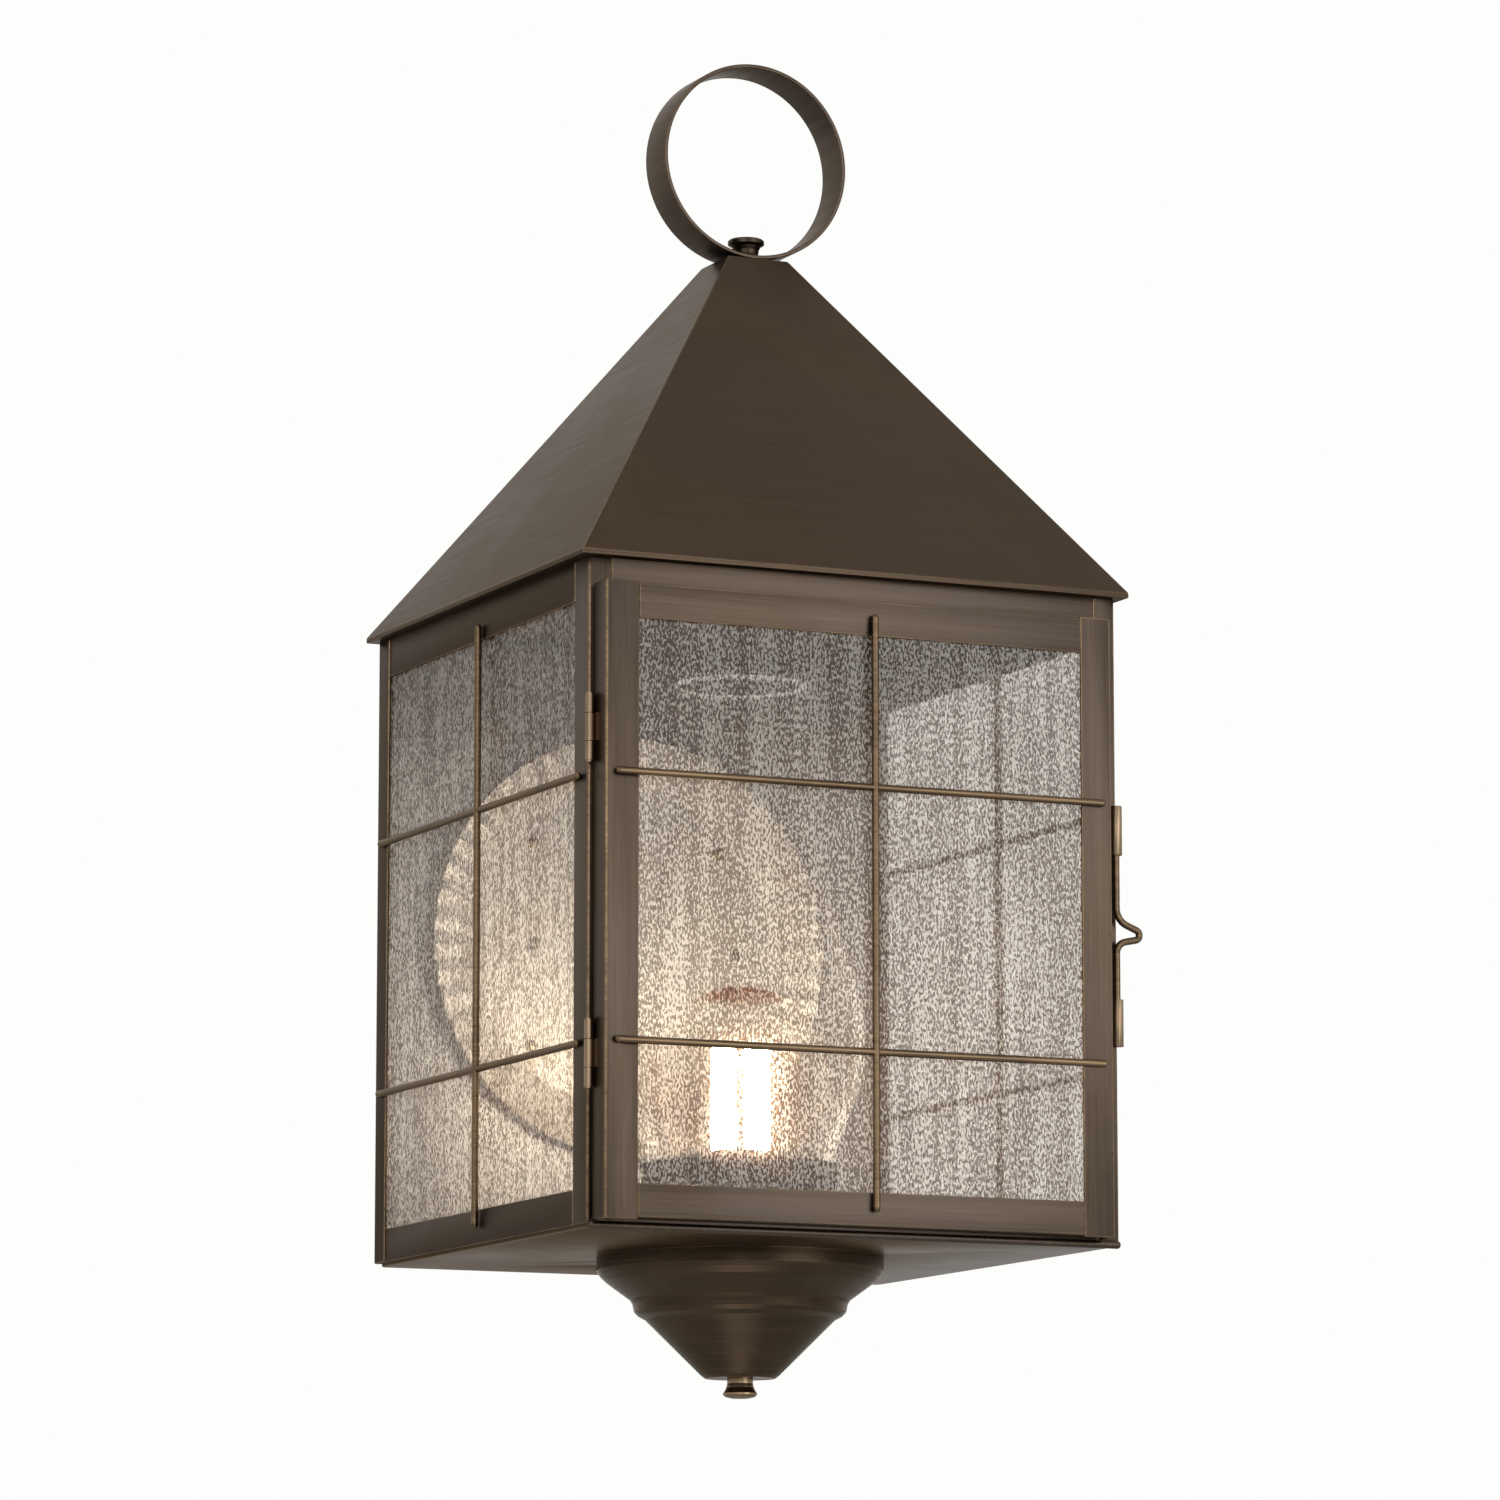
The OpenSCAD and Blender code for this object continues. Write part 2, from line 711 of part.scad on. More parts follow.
// The knob spreads at its foot and again below its flange.
module ring_knob() {
    neck_top = ring_knob_h - ring_knob_flange;
    profile = [
        [ring_stud_r, 0], [ring_knob_neck_r + ring_knob_foot, 0],
        [ring_knob_neck_r, neck_top * 0.3], [ring_knob_neck_r + 0.2, neck_top * 0.6],
        [ring_knob_neck_r + 0.9, neck_top * 0.85], [ring_knob_r, neck_top],
        [ring_knob_r, ring_knob_h - ring_knob_edge],
        [ring_knob_r - ring_knob_edge, ring_knob_h], [0, ring_knob_h],
        [0, ring_knob_bore], [ring_stud_r, ring_knob_bore]
    ];
    color([0.28, 0.25, 0.21]) place() difference() {
        at_top(ring_seat) rotate_extrude() polygon(profile);
        at_top(ring_z) rotate([90, 0, 0]) translate([0, 0, -ring_w / 2])
            ring_of(ring_r, ring_r - ring_t, ring_w);
    }
}

ring_nut_z = roof_z1 - roof_t - nut_t;
stud_tail = 2;

module ring_stud() {
    color([0.6, 0.55, 0.45]) place() at_top(ring_nut_z - stud_tail)
        cylinder(r = ring_stud_r, h = ring_seat + ring_knob_bore - ring_nut_z + stud_tail);
}

module ring_nut() {
    color([0.6, 0.55, 0.45]) place() at_top(ring_nut_z)
        hex_nut(ring_nut_r, ring_stud_r, nut_t);
}

pane_rear_gap = 6;
pane_z1 = body_h - side_top_h + pane_overlap;
pane_y0 = post_side_leg - pane_overlap;
pane_y1 = body_d - rear_leg + min(pane_overlap, rear_leg - pane_rear_gap);

module side_pane(right) {
    color([0.85, 0.83, 0.78, 0.5]) place() mirrored(right)
        box([-in_x, pane_y0, pan_lip], [-in_x + glass_t, pane_y1, pane_z1]);
}

module left_glass() { side_pane(false); }
module right_glass() { side_pane(true); }

// How far a clip's foot reaches along its rail or lip.
clip_foot = 5;

// Section of the bottom clip: a foot on the pan's lip, a step under the pane, a tab behind it.
function low_clip() = let (g = glass_t, t = clip_t, step = pan_lip - t, foot = step - clip_foot) [
    [pan_t, foot], [pan_t + t, foot], [pan_t + t, step - t], [g + t, step - t],
    [g + t, pan_lip + clip_reach], [g, pan_lip + clip_reach], [g, step], [pan_t, step]
];

// Section of the top clip: a foot on the rail, a step over the pane, a tab behind it.
function high_clip() =
    let (g = glass_t, t = clip_t, step = pane_z1 + clear, foot = step + clip_foot) [
    [0, step], [g, step], [g, pane_z1 - clip_reach], [g + t, pane_z1 - clip_reach],
    [g + t, step + t], [t, step + t], [t, foot], [0, foot]
];

module side_clips(right) {
    mid = (pane_y0 + pane_y1) / 2;
    color([0.5, 0.45, 0.36]) place() mirrored(right)
        for (s = [-1, 1])
            translate([-in_x, mid + s * clip_off + clip_w / 2, 0]) rotate([90, 0, 0])
                linear_extrude(clip_w) {
                    polygon(low_clip());
                    polygon(high_clip());
                }
}

module left_glass_clips() { side_clips(false); }
module right_glass_clips() { side_clips(true); }

side_wire_fwd = 2;

// The horizontal wires are filed flat where they lie on the proud rear post.
module side_muntins(right) {
    x = -half_w - wire_rad;
    color([0.36, 0.28, 0.19]) place() mirrored(right) difference() {
        union() {
            wire_z(x - wire_lift, lamp_y - side_wire_fwd, wire_end,
                body_h - side_top_h + wire_end);
            for (z = [lower_wire_z, upper_wire_z])
                wire_y(x, side_wire_end, body_d - side_wire_end, z);
        }
        box([-half_w - rear_proud, body_d - rear_leg, 0], [-half_w + wire_rad, body_d, body_h]);
    }
}

module left_muntins() { side_muntins(false); }
module right_muntins() { side_muntins(true); }

module at_hinges() {
    for (z = hinge_feet) translate([hinge_x, hinge_y, z]) children();
}

module hinge_post_leaves() {
    color([0.45, 0.38, 0.28]) place() at_hinges() difference() {
        union() {
            cylinder(r = barrel_r, h = post_knuckle_h - knuckle_gap / 2);
            translate([0, 0, post_knuckle_h + door_knuckle_h + knuckle_gap / 2])
                cylinder(r = barrel_r, h = post_knuckle_h - knuckle_gap / 2);
            box([0, hinge_fwd - leaf_t, 0], [post_leaf_w, hinge_fwd, hinge_h]);
        }
        translate([0, 0, post_knuckle_h - knuckle_gap / 2])
            cylinder(r = barrel_r + clear, h = door_knuckle_h + knuckle_gap);
        translate([0, 0, -1]) cylinder(r = hinge_pin_r, h = hinge_h + 2);
    }
}

pin_head_r = 1.3;
pin_head_h = 0.7;

module hinge_pins() {
    color([0.5, 0.43, 0.32]) place() at_hinges() {
        cylinder(r = hinge_pin_r, h = hinge_h);
        translate([0, 0, -pin_head_h]) cylinder(r = pin_head_r, h = pin_head_h);
        translate([0, 0, hinge_h]) cylinder(r = pin_head_r, h = pin_head_h);
    }
}

module hinge_door_leaves() {
    knuckle = door_knuckle_h - knuckle_gap;
    plate_x = door_left - hinge_x;
    color([0.42, 0.36, 0.28]) place() at_hinges()
        translate([0, 0, post_knuckle_h + knuckle_gap / 2]) difference() {
            union() {
                cylinder(r = barrel_r, h = knuckle);
                box([plate_x - leaf_t, -door_leaf_w, 0], [plate_x, 0, knuckle]);
            }
            translate([0, 0, -1]) cylinder(r = hinge_pin_r + run_gap, h = knuckle + 2);
        }
}

module at_latch(z) {
    translate([latch_x, latch_y, z]) children();
}

sleeve_foot_x = [-1.85, 1.3];
sleeve_foot_t = 0.92;

// A tube on a low foot that is soldered to the post's front strip.
module sleeve(h) {
    cylinder(r = sleeve_r, h = h);
    box([sleeve_foot_x[0], sleeve_r - sleeve_foot_t, 0], [sleeve_foot_x[1], sleeve_r, h]);
}

module latch_sleeves() {
    bore = wire_rad + run_gap;
    color([0.36, 0.31, 0.26]) place() {
        difference() {
            at_latch(lower_sleeve_foot) sleeve(lower_sleeve_h);
            at_latch(lower_sleeve_foot + sleeve_foot) cylinder(r = bore, h = lower_sleeve_h);
        }
        difference() {
            at_latch(upper_sleeve_foot) sleeve(upper_sleeve_h);
            at_latch(upper_sleeve_foot - 1) cylinder(r = bore, h = upper_sleeve_h + 2);
        }
    }
}

// The wire's bow in the plane y = 0: a bend in the nose, two straight arms that spread, each by
// its own angle, and a wide bend from each arm into the upright wire. Each entry is x, z and the
// angle of the wire's outer side.
bow_steps = 7;
bow_sides = 16;
bow_rad = wire_rad - 0.01;
bow_lap = 0.5;
nose_x = nose_reach - nose_bend;
function arm_end(spread) = [nose_x + nose_bend * sin(spread), nose_bend * cos(spread)]
    + nose_arm * [-cos(spread), sin(spread)];
function bow_r(spread) = arm_end(spread)[0] / (1 - sin(spread));
function bow_z(spread) = arm_end(spread)[1] + bow_r(spread) * cos(spread);
function bow_half(spread) = let (turn = 90 - spread, r = bow_r(spread), z = bow_z(spread)) [
    for (k = [0 : bow_steps]) let (a = turn * k / bow_steps)
        [nose_x + nose_bend * cos(a), nose_bend * sin(a), a],
    for (k = [bow_steps : -1 : 0]) let (a = turn * k / bow_steps)
        [r - r * cos(a), z - r * sin(a), a],
    [0, z + bow_lap, 0]
];

module bow() {
    low = bow_half(nose_spread_low);
    path = [
        for (k = [len(low) - 1 : -1 : 1]) [low[k][0], -low[k][1], -low[k][2]],
        each bow_half(nose_spread)
    ];
    n = bow_sides;
    last = len(path) - 1;
    polyhedron(
        points = [
            for (p = path, i = [0 : n - 1]) let (t = 360 * i / n) [
                p[0] + bow_rad * cos(t) * cos(p[2]), bow_rad * sin(t),
                p[1] + bow_rad * cos(t) * sin(p[2])
            ]
        ],
        faces = [
            [for (i = [0 : n - 1]) i],
            [for (i = [n - 1 : -1 : 0]) last * n + i],
            for (j = [0 : last - 1], i = [0 : n - 1])
                let (a = j * n + i, b = j * n + (i + 1) % n)
                each [[a, a + n, b + n], [a, b + n, b]]
        ]
    );
}

latch_head_in = 1;

module latch_wire() {
    foot = lower_sleeve_foot + sleeve_foot + clear;
    head = upper_sleeve_top - latch_head_in;
    color([0.34, 0.28, 0.22]) place() {
        low_bend = nose_z - bow_z(nose_spread_low);
        high_bend = nose_z + bow_z(nose_spread);
        at_latch(foot) cylinder(r = wire_rad, h = low_bend - foot);
        at_latch(high_bend) cylinder(r = wire_rad, h = head - high_bend);
        at_latch(nose_z) bow();
    }
}

// Outside of the cup as radius and depth below its rim, from the rim to its foot.
function cup_outline() = [
    [cup_r, 0], [cup_r, cup_band], [cup_r - 1.2, cup_band + 1.8],
    [cup_r - 3.6, cup_band + 4.2], [cup_step_r + 1.3, cup_step_z - 1.6],
    [cup_step_r + 0.3, cup_step_z], [cup_step_r, cup_step_z + 1.5],
    [cup_step_r - 0.3, cup_step_z + 3], [cup_step_r - 1.8, cup_step_z + 4.6],
    [cup_step_r - 4.6, cup_step_z + 6.1], [cup_foot_r + 1.6, cup_h - 1.2], [cup_foot_r, cup_h]
];

// The inside runs beside the outside, moved in and up so that the wall is about cup_t.
cup_in = cup_t * 1.1;
cup_up = cup_t * 0.8;

module bottom_cup() {
    outside = [for (p = cup_outline()) [p[0], -p[1]]];
    inside = [
        for (i = [len(outside) - 1 : -1 : 0])
            [outside[i][0] - cup_in, outside[i][1] + (i == 0 ? 0 : cup_up)]
    ];
    color([0.33, 0.27, 0.22]) place() translate([0, lamp_y, -pan_drop]) difference() {
        rotate_extrude($fn = 64) polygon([
            each outside, [0, -cup_h], [0, cup_up - cup_h], each inside
        ]);
        translate([0, 0, -cup_h - 1]) cylinder(r = rod_r, h = cup_t + 2);
    }
}

module bottom_knob() {
    flare = knob_max_r - knob_r;
    profile = [
        [rod_r, 0], [knob_r, 0], [knob_r, -knob_h * 0.25], [knob_r + flare * 0.2, -knob_h * 0.44],
        [knob_r + flare * 0.6, -knob_h * 0.6], [knob_max_r, -knob_h * 0.72],
        [knob_max_r, -knob_h * 0.8], [knob_max_r - flare * 0.6, -knob_h * 0.91],
        [knob_max_r / 2, -knob_h * 0.98], [0, -knob_h], [0, -knob_bore], [rod_r, -knob_bore]
    ];
    color([0.36, 0.30, 0.24]) place() translate([0, lamp_y, cup_foot])
        rotate_extrude() polygon(profile);
}

cross_down = 28;

// The leads enter the hollow rod through a cross hole inside the cup.
module lamp_rod() {
    cross_z = -pan_drop - cross_down;
    color([0.6, 0.55, 0.45]) place() translate([0, lamp_y, 0]) difference() {
        translate([0, 0, rod_foot]) cylinder(r = rod_r, h = socket_z - rod_foot);
        translate([0, 0, cross_z]) cylinder(r = rod_bore_r, h = socket_z - cross_z + 1);
        translate([0, 0, cross_z]) rotate([-90, 0, 0]) cylinder(r = rod_bore_r, h = rod_r + 1);
    }
}

rod_washer_r = 10.4;
rod_nut_r = 7.6;
ring_nut_r = 4.75;

module rod_washer() {
    color([0.6, 0.55, 0.45]) place() translate([0, lamp_y, pan_floor])
        ring_of(rod_washer_r, rod_r, washer_t);
}

module rod_nut() {
    color([0.6, 0.55, 0.45]) place() translate([0, lamp_y, rod_nut_z])
        hex_nut(rod_nut_r, rod_r, nut_t);
}

cap_foot_r = 9.6;
liner_down = 1;
contact_r = [5.5, 3.9];

module socket_cap() {
    color([0.62, 0.52, 0.32]) place() translate([0, lamp_y, cap_z]) difference() {
        cylinder(r1 = cap_foot_r, r2 = socket_r, h = cap_h);
        translate([0, 0, -1]) cylinder(r = rod_r, h = cap_h + 2);
    }
}

module socket_body() {
    color([0.9, 0.88, 0.82]) place() translate([0, lamp_y, socket_z]) difference() {
        union() {
            cylinder(r = socket_r, h = socket_h);
            translate([0, 0, gallery_z - socket_z - shoulder_h])
                cylinder(r = shoulder_r, h = shoulder_h);
        }
        translate([0, 0, socket_floor]) cylinder(r = socket_bore_r, h = socket_h);
        translate([0, 0, -1]) cylinder(r = rod_bore_r, h = socket_floor + 2);
    }
}

module socket_liner() {
    color([0.7, 0.6, 0.35]) place() translate([0, lamp_y, socket_z + socket_floor])
        ring_of(socket_bore_r, socket_bore_r - liner_t, socket_h - socket_floor - liner_down);
}

module socket_contact() {
    color([0.75, 0.62, 0.36]) place() translate([0, lamp_y, socket_z + socket_floor])
        cylinder(r1 = contact_r[0], r2 = contact_r[1], h = contact_h);
}

shade_ring_r = socket_r + 3.5;

module shade_ring() {
    color([0.15, 0.13, 0.12]) place() translate([0, lamp_y, gallery_floor])
        ring_of(shade_ring_r, socket_r, shade_ring_h);
}

gallery_in_r = chimney_foot_r + gallery_play;
gallery_bead = 0.8;
gallery_bead_h = 1;

module chimney_gallery() {
    outer = gallery_in_r + gallery_t;
    color([0.45, 0.37, 0.25]) place() translate([0, lamp_y, gallery_z]) difference() {
        union() {
            cylinder(r = outer, h = gallery_t + gallery_h);
            translate([0, 0, gallery_t + gallery_h - gallery_bead_h])
                cylinder(r = outer + gallery_bead, h = gallery_bead_h);
        }
        translate([0, 0, gallery_t]) cylinder(r = gallery_in_r, h = gallery_h + 1);
        translate([0, 0, -1]) cylinder(r = socket_r, h = gallery_t + 2);
    }
}

ground_x = 28;
ground_r = 3.6;
ground_h = 2.2;
ground_tip_r = 1.6;
ground_tip_h = 0.8;

module ground_screw() {
    color([0.25, 0.45, 0.25]) place() translate([ground_x, lead_y, pan_floor]) {
        cylinder(r = ground_r, h = ground_h, $fn = 6);
        translate([0, 0, ground_h]) cylinder(r = ground_tip_r, h = ground_tip_h);
    }
}

module stile(left) {
    color([0.40, 0.35, 0.30]) place()
        translate([left ? door_left : door_right, door_front, door_foot]) mirrored(!left)
            linear_extrude(door_z1 - door_foot)
                angle_profile(left ? left_stile_w : right_stile_w, door_proud - door_gap);
}

module door_left_stile() { stile(true); }
module door_right_stile() { stile(false); }

// A rail between the stiles, with a flange along its outer edge at z0 and its face up to z1.
module door_rail(z0, z1) {
    flange_z = z1 > z0 ? z0 : z0 - sheet_t;
    color([0.39, 0.34, 0.29]) place() {
        box([opening_left, door_front, min(z0, z1)], [opening_right, door_in, max(z0, z1)]);
        box([door_left + sheet_t, door_in, flange_z],
            [door_right - sheet_t, door_back, flange_z + sheet_t]);
    }
}

door_low = door_foot + rail_back;
door_high = door_z1 - rail_back;

module door_top_rail() { door_rail(door_high, door_high - door_top_h); }
module door_bottom_rail() { door_rail(door_low, door_low + door_bottom_h); }

door_pane_z0 = door_low + sheet_t;
door_pane_z1 = door_high - sheet_t - pane_play;

module door_glass() {
    color([0.85, 0.83, 0.78, 0.5]) place()
        box([door_left + sheet_t + pane_play, door_in, door_pane_z0],
            [door_right - sheet_t - pane_play, door_in + glass_t, door_pane_z1]);
}

// Section of a door clip: a foot on the rail's flange and a tab behind the pane.
function door_clip(reach) = let (g = door_in + glass_t) [
    [g, 0], [g + clip_foot, 0], [g + clip_foot, clip_t], [g + clip_t, clip_t],
    [g + clip_t, reach], [g, reach]
];

module door_glass_clips() {
    mid = (door_left + door_right) / 2;
    color([0.5, 0.45, 0.36]) place()
        for (s = [-1, 1]) translate([mid + s * clip_off - clip_w / 2, 0, 0]) {
            translate([0, 0, door_pane_z0]) rotate([90, 0, 90])
                linear_extrude(clip_w) polygon(door_clip(clip_reach + clip_t));
            translate([0, 0, door_high - sheet_t]) mirror([0, 0, 1]) rotate([90, 0, 90])
                linear_extrude(clip_w) polygon(door_clip(clip_reach + clip_t + pane_play));
        }
}

module door_muntins() {
    y = door_front - wire_rad;
    color([0.36, 0.28, 0.19]) place() {
        wire_z(door_wire_x, y - wire_lift, door_foot + wire_end, door_z1 - wire_end);
        for (z = [lower_wire_z, upper_wire_z])
            wire_x(door_left + door_wire_end, door_right - door_wire_end, y, z);
    }
}

// Outside of the chimney as radius and height, from its foot to its rim. Each height is a share
// of the whole, and each radius a share of the way from foot to belly or from belly to neck.
function chimney_outline() = let (
    h = chimney_h, foot = chimney_foot_r, belly = chimney_belly_r, neck = chimney_neck_r,
    out = belly - foot, in = belly - neck
) [
    [foot, 0], [foot, 0.041 * h], [foot + 0.025 * out, 0.067 * h],
    [foot + 0.29 * out, 0.103 * h], [foot + 0.70 * out, 0.164 * h],
    [foot + 0.975 * out, 0.236 * h], [belly - 0.021 * in, 0.313 * h],
    [belly - 0.153 * in, 0.4 * h], [belly - 0.424 * in, 0.503 * h],
    [belly - 0.712 * in, 0.61 * h], [belly - 0.839 * in, 0.672 * h],
    [belly - 0.941 * in, 0.744 * h], [belly - 0.996 * in, 0.831 * h],
    [neck, 0.928 * h], [chimney_rim_r, h]
];

chimney_foot_h = 12;

module chimney_glass() {
    outside = smooth(chimney_outline(), 3);
    inside = [
        for (i = [len(outside) - 1 : -1 : 0])
            let (wall = outside[i][1] < chimney_foot_h ? chimney_foot_t : chimney_t)
            [outside[i][0] - wall, outside[i][1]]
    ];
    color([0.9, 0.9, 0.88, 0.3]) place() translate([0, lamp_y, chimney_z])
        rotate_extrude($fn = 64) polygon([each outside, each inside]);
}

base_tip_r = [5.2, 11];
base_tip_h = 2.5;

module bulb_base() {
    tip = base_tip_h;
    color([0.75, 0.72, 0.66]) place() translate([0, lamp_y, base_z]) {
        cylinder(r1 = base_tip_r[0], r2 = base_tip_r[1], h = tip);
        translate([0, 0, tip]) cylinder(r = base_r, h = base_h - tip);
        translate([0, 0, base_h]) cylinder(r = core_r, h = plug_h);
    }
}

bulb_neck_h = 1.4;
bulb_neck = 0.6;
core_bevel = 2;

// The globe from 56 degrees below its equator to its top.
function globe_arc(r) = [for (a = [-56 : 8 : 80]) [r * cos(a), r * sin(a)], [0, r]];

// The globe springs from a short neck on the screw base.
module bulb_glass() {
    neck_z = bulb_neck_h - globe_up;
    outer = [[base_r, -globe_up], [base_r + bulb_neck, neck_z], each globe_arc(globe_r)];
    inner_arc = globe_arc(globe_r - bulb_t);
    inner = [
        for (i = [len(inner_arc) - 1 : -1 : 0]) inner_arc[i],
        [base_r + bulb_neck - bulb_t, neck_z], [core_r + solid_overlap, -globe_up]
    ];
    color([0.95, 0.93, 0.86, 0.3]) place() translate([0, lamp_y, globe_z])
        rotate_extrude($fn = 64) polygon([each outer, each inner]);
}

module bulb_core() {
    color([1, 0.95, 0.8]) place() translate([0, lamp_y, core_z]) {
        cylinder(r = core_r, h = core_h - core_bevel);
        translate([0, 0, core_h - core_bevel])
            cylinder(r1 = core_r, r2 = core_r - core_bevel, h = core_bevel);
    }
}

wall_plate();
wall_screw_spacers();
wire_entry_grommet();
back_panel();
lead_grommets();
reflector();
reflector_rivets();
front_left_post();
front_right_post();
rear_left_post();
rear_right_post();
header_rail();
front_sill();
left_top_rail();
left_bottom_rail();
right_top_rail();
right_bottom_rail();
bottom_pan();
roof_shell();
ring_washer();
hanging_ring();
ring_knob();
ring_stud();
ring_nut();
left_glass();
right_glass();
left_glass_clips();
right_glass_clips();
left_muntins();
right_muntins();
hinge_post_leaves();
hinge_pins();
latch_sleeves();
bottom_cup();
bottom_knob();
lamp_rod();
rod_washer();
rod_nut();
socket_cap();
socket_body();
socket_liner();
socket_contact();
shade_ring();
chimney_gallery();
ground_screw();
door_left_stile();
door_right_stile();
door_top_rail();
door_bottom_rail();
door_glass();
door_glass_clips();
door_muntins();
hinge_door_leaves();
latch_wire();
chimney_glass();
bulb_base();
bulb_glass();
bulb_core();
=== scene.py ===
"""Looks of the wall lantern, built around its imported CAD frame."""

import json
import math

import bmesh
import bpy
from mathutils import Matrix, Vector


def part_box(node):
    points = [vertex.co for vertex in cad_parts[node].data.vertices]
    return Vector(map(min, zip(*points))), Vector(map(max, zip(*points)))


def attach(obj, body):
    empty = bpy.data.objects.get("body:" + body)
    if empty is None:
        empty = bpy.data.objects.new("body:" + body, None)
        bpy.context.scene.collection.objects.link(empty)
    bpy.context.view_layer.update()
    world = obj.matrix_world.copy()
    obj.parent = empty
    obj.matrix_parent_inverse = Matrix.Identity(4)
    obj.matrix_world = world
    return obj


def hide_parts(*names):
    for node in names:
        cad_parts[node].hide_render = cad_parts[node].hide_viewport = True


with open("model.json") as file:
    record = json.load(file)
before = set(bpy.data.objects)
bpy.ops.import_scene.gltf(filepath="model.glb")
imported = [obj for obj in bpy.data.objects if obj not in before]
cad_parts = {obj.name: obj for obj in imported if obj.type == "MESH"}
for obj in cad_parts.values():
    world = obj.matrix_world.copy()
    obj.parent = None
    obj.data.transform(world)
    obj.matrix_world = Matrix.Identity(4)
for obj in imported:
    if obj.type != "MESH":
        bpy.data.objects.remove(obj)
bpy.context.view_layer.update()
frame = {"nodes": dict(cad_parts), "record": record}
nodes = frame["nodes"]
slot_of = {s["node"]: s["material_slot"] for s in frame["record"]["subparts"]}
scene = bpy.context.scene

MM = 0.001

# The photograph's camera, found from the lantern's corners.
FOCAL_PIXELS, PICTURE_PIXELS, SENSOR = 6781.85, 1500, 36.0
EYE = Vector((-1.0920, -2.4898, -0.3418))
YAW, PITCH = -24.7414, 8.8767


# Materials

class Graph:
    """The nodes of one material or of the world."""

    def __init__(self, name, world=False):
        self.owner = bpy.data.worlds.new(name) if world else bpy.data.materials.new(name)
        self.owner.use_nodes = True
        self.tree = self.owner.node_tree
        self.tree.nodes.clear()
        kind = "ShaderNodeOutputWorld" if world else "ShaderNodeOutputMaterial"
        self.output = self.tree.nodes.new(kind)

    def node(self, kind, inputs=None, **settings):
        made = self.tree.nodes.new("ShaderNode" + kind)
        for key, value in settings.items():
            setattr(made, key, value)
        for key, value in (inputs or {}).items():
            self.put(made.inputs[key], value)
        return made

    def put(self, socket, value):
        if isinstance(value, bpy.types.NodeSocket):
            self.tree.links.new(value, socket)
        elif isinstance(value, (tuple, list)) and len(value) == 3 and socket.type == "RGBA":
            socket.default_value = (*value, 1)
        else:
            socket.default_value = value

    def coords(self):
        return self.node("TexCoord").outputs["Object"]

    def along(self, axis):
        return self.node("SeparateXYZ", {"Vector": self.coords()}).outputs[axis]

    def noise(self, scale, detail=3.0, roughness=0.55, distortion=0.0):
        """Noise with its own number of cells per metre along each axis."""
        place = self.node("Mapping", {"Vector": self.coords(), "Scale": scale}).outputs[0]
        made = self.node(
            "TexNoise",
            {"Vector": place, "Scale": 1.0, "Detail": detail, "Roughness": roughness,
             "Distortion": distortion},
        )
        return made.outputs["Fac"]

    def ramp(self, value, low, high, to_low=0.0, to_high=1.0, smooth=True):
        """Leads from one value to another while its input goes from low to high, up or down."""
        kind = "SMOOTHSTEP" if smooth else "LINEAR"
        made = self.node(
            "MapRange",
            {"Value": value, "From Min": low, "From Max": high, "To Min": to_low,
             "To Max": to_high},
            interpolation_type=kind, clamp=True,
        )
        return made.outputs["Result"]

    def math(self, kind, a, b=0.0, clamp=False):
        made = self.node("Math", operation=kind, use_clamp=clamp)
        self.put(made.inputs[0], a)
        self.put(made.inputs[1], b)
        return made.outputs[0]

    def mix(self, share, a, b):
        made = self.node("Mix", data_type="RGBA")
        self.put(made.inputs[0], share)
        self.put(made.inputs[6], a)
        self.put(made.inputs[7], b)
        return made.outputs[2]

    def mix_shader(self, share, a, b):
        made = self.node("MixShader")
        self.put(made.inputs[0], share)
        self.put(made.inputs[1], a)
        self.put(made.inputs[2], b)
        return made.outputs[0]

    def bump(self, height, distance, strength=1.0, normal=None):
        made = self.node("Bump", {"Height": height, "Distance": distance, "Strength": strength})
        if normal is not None:
            self.put(made.inputs["Normal"], normal)
        return made.outputs[0]

    def finish(self, shader):
        self.put(self.output.inputs["Surface"], shader)
        return self.owner


# The colour of bronze that is rubbed bare, and how far from an edge the rubbing reaches.
WORN, WORN_REACH = (0.34, 0.23, 0.13), 0.7 * MM

# The cosine between a face's own normal and its softened one, away from an edge and at it.
COSINE_AWAY, COSINE_AT_EDGE = 0.985, 0.80

# Cells per metre along x, y and z: strokes that lie level, stand upright, or run along x alone.
GRAIN = {"level": (16, 16, 900), "upright": (900, 900, 16), "across": (16, 900, 900)}
SPECK_CELLS, DRIFT_CELLS = (620, 620, 620), (7, 7, 11)
# How much finer the fine strokes are than the coarse ones.
FINER = 2.3

# How deep the strokes of a brush and the blotches of an old finish go.
STROKE_DEPTH, BLOTCH_DEPTH = 0.05 * MM, 0.5 * MM


def edge_mask(graph, reach):
    """1 on a sharp outer edge, falling to 0 as far from it as the reach."""
    soft = graph.node("Bevel", {"Radius": reach}, samples=6).outputs[0]
    true = graph.node("NewGeometry").outputs["Normal"]
    dot = graph.node("VectorMath", operation="DOT_PRODUCT")
    graph.put(dot.inputs[0], soft)
    graph.put(dot.inputs[1], true)
    return graph.ramp(dot.outputs["Value"], COSINE_AWAY, COSINE_AT_EDGE)


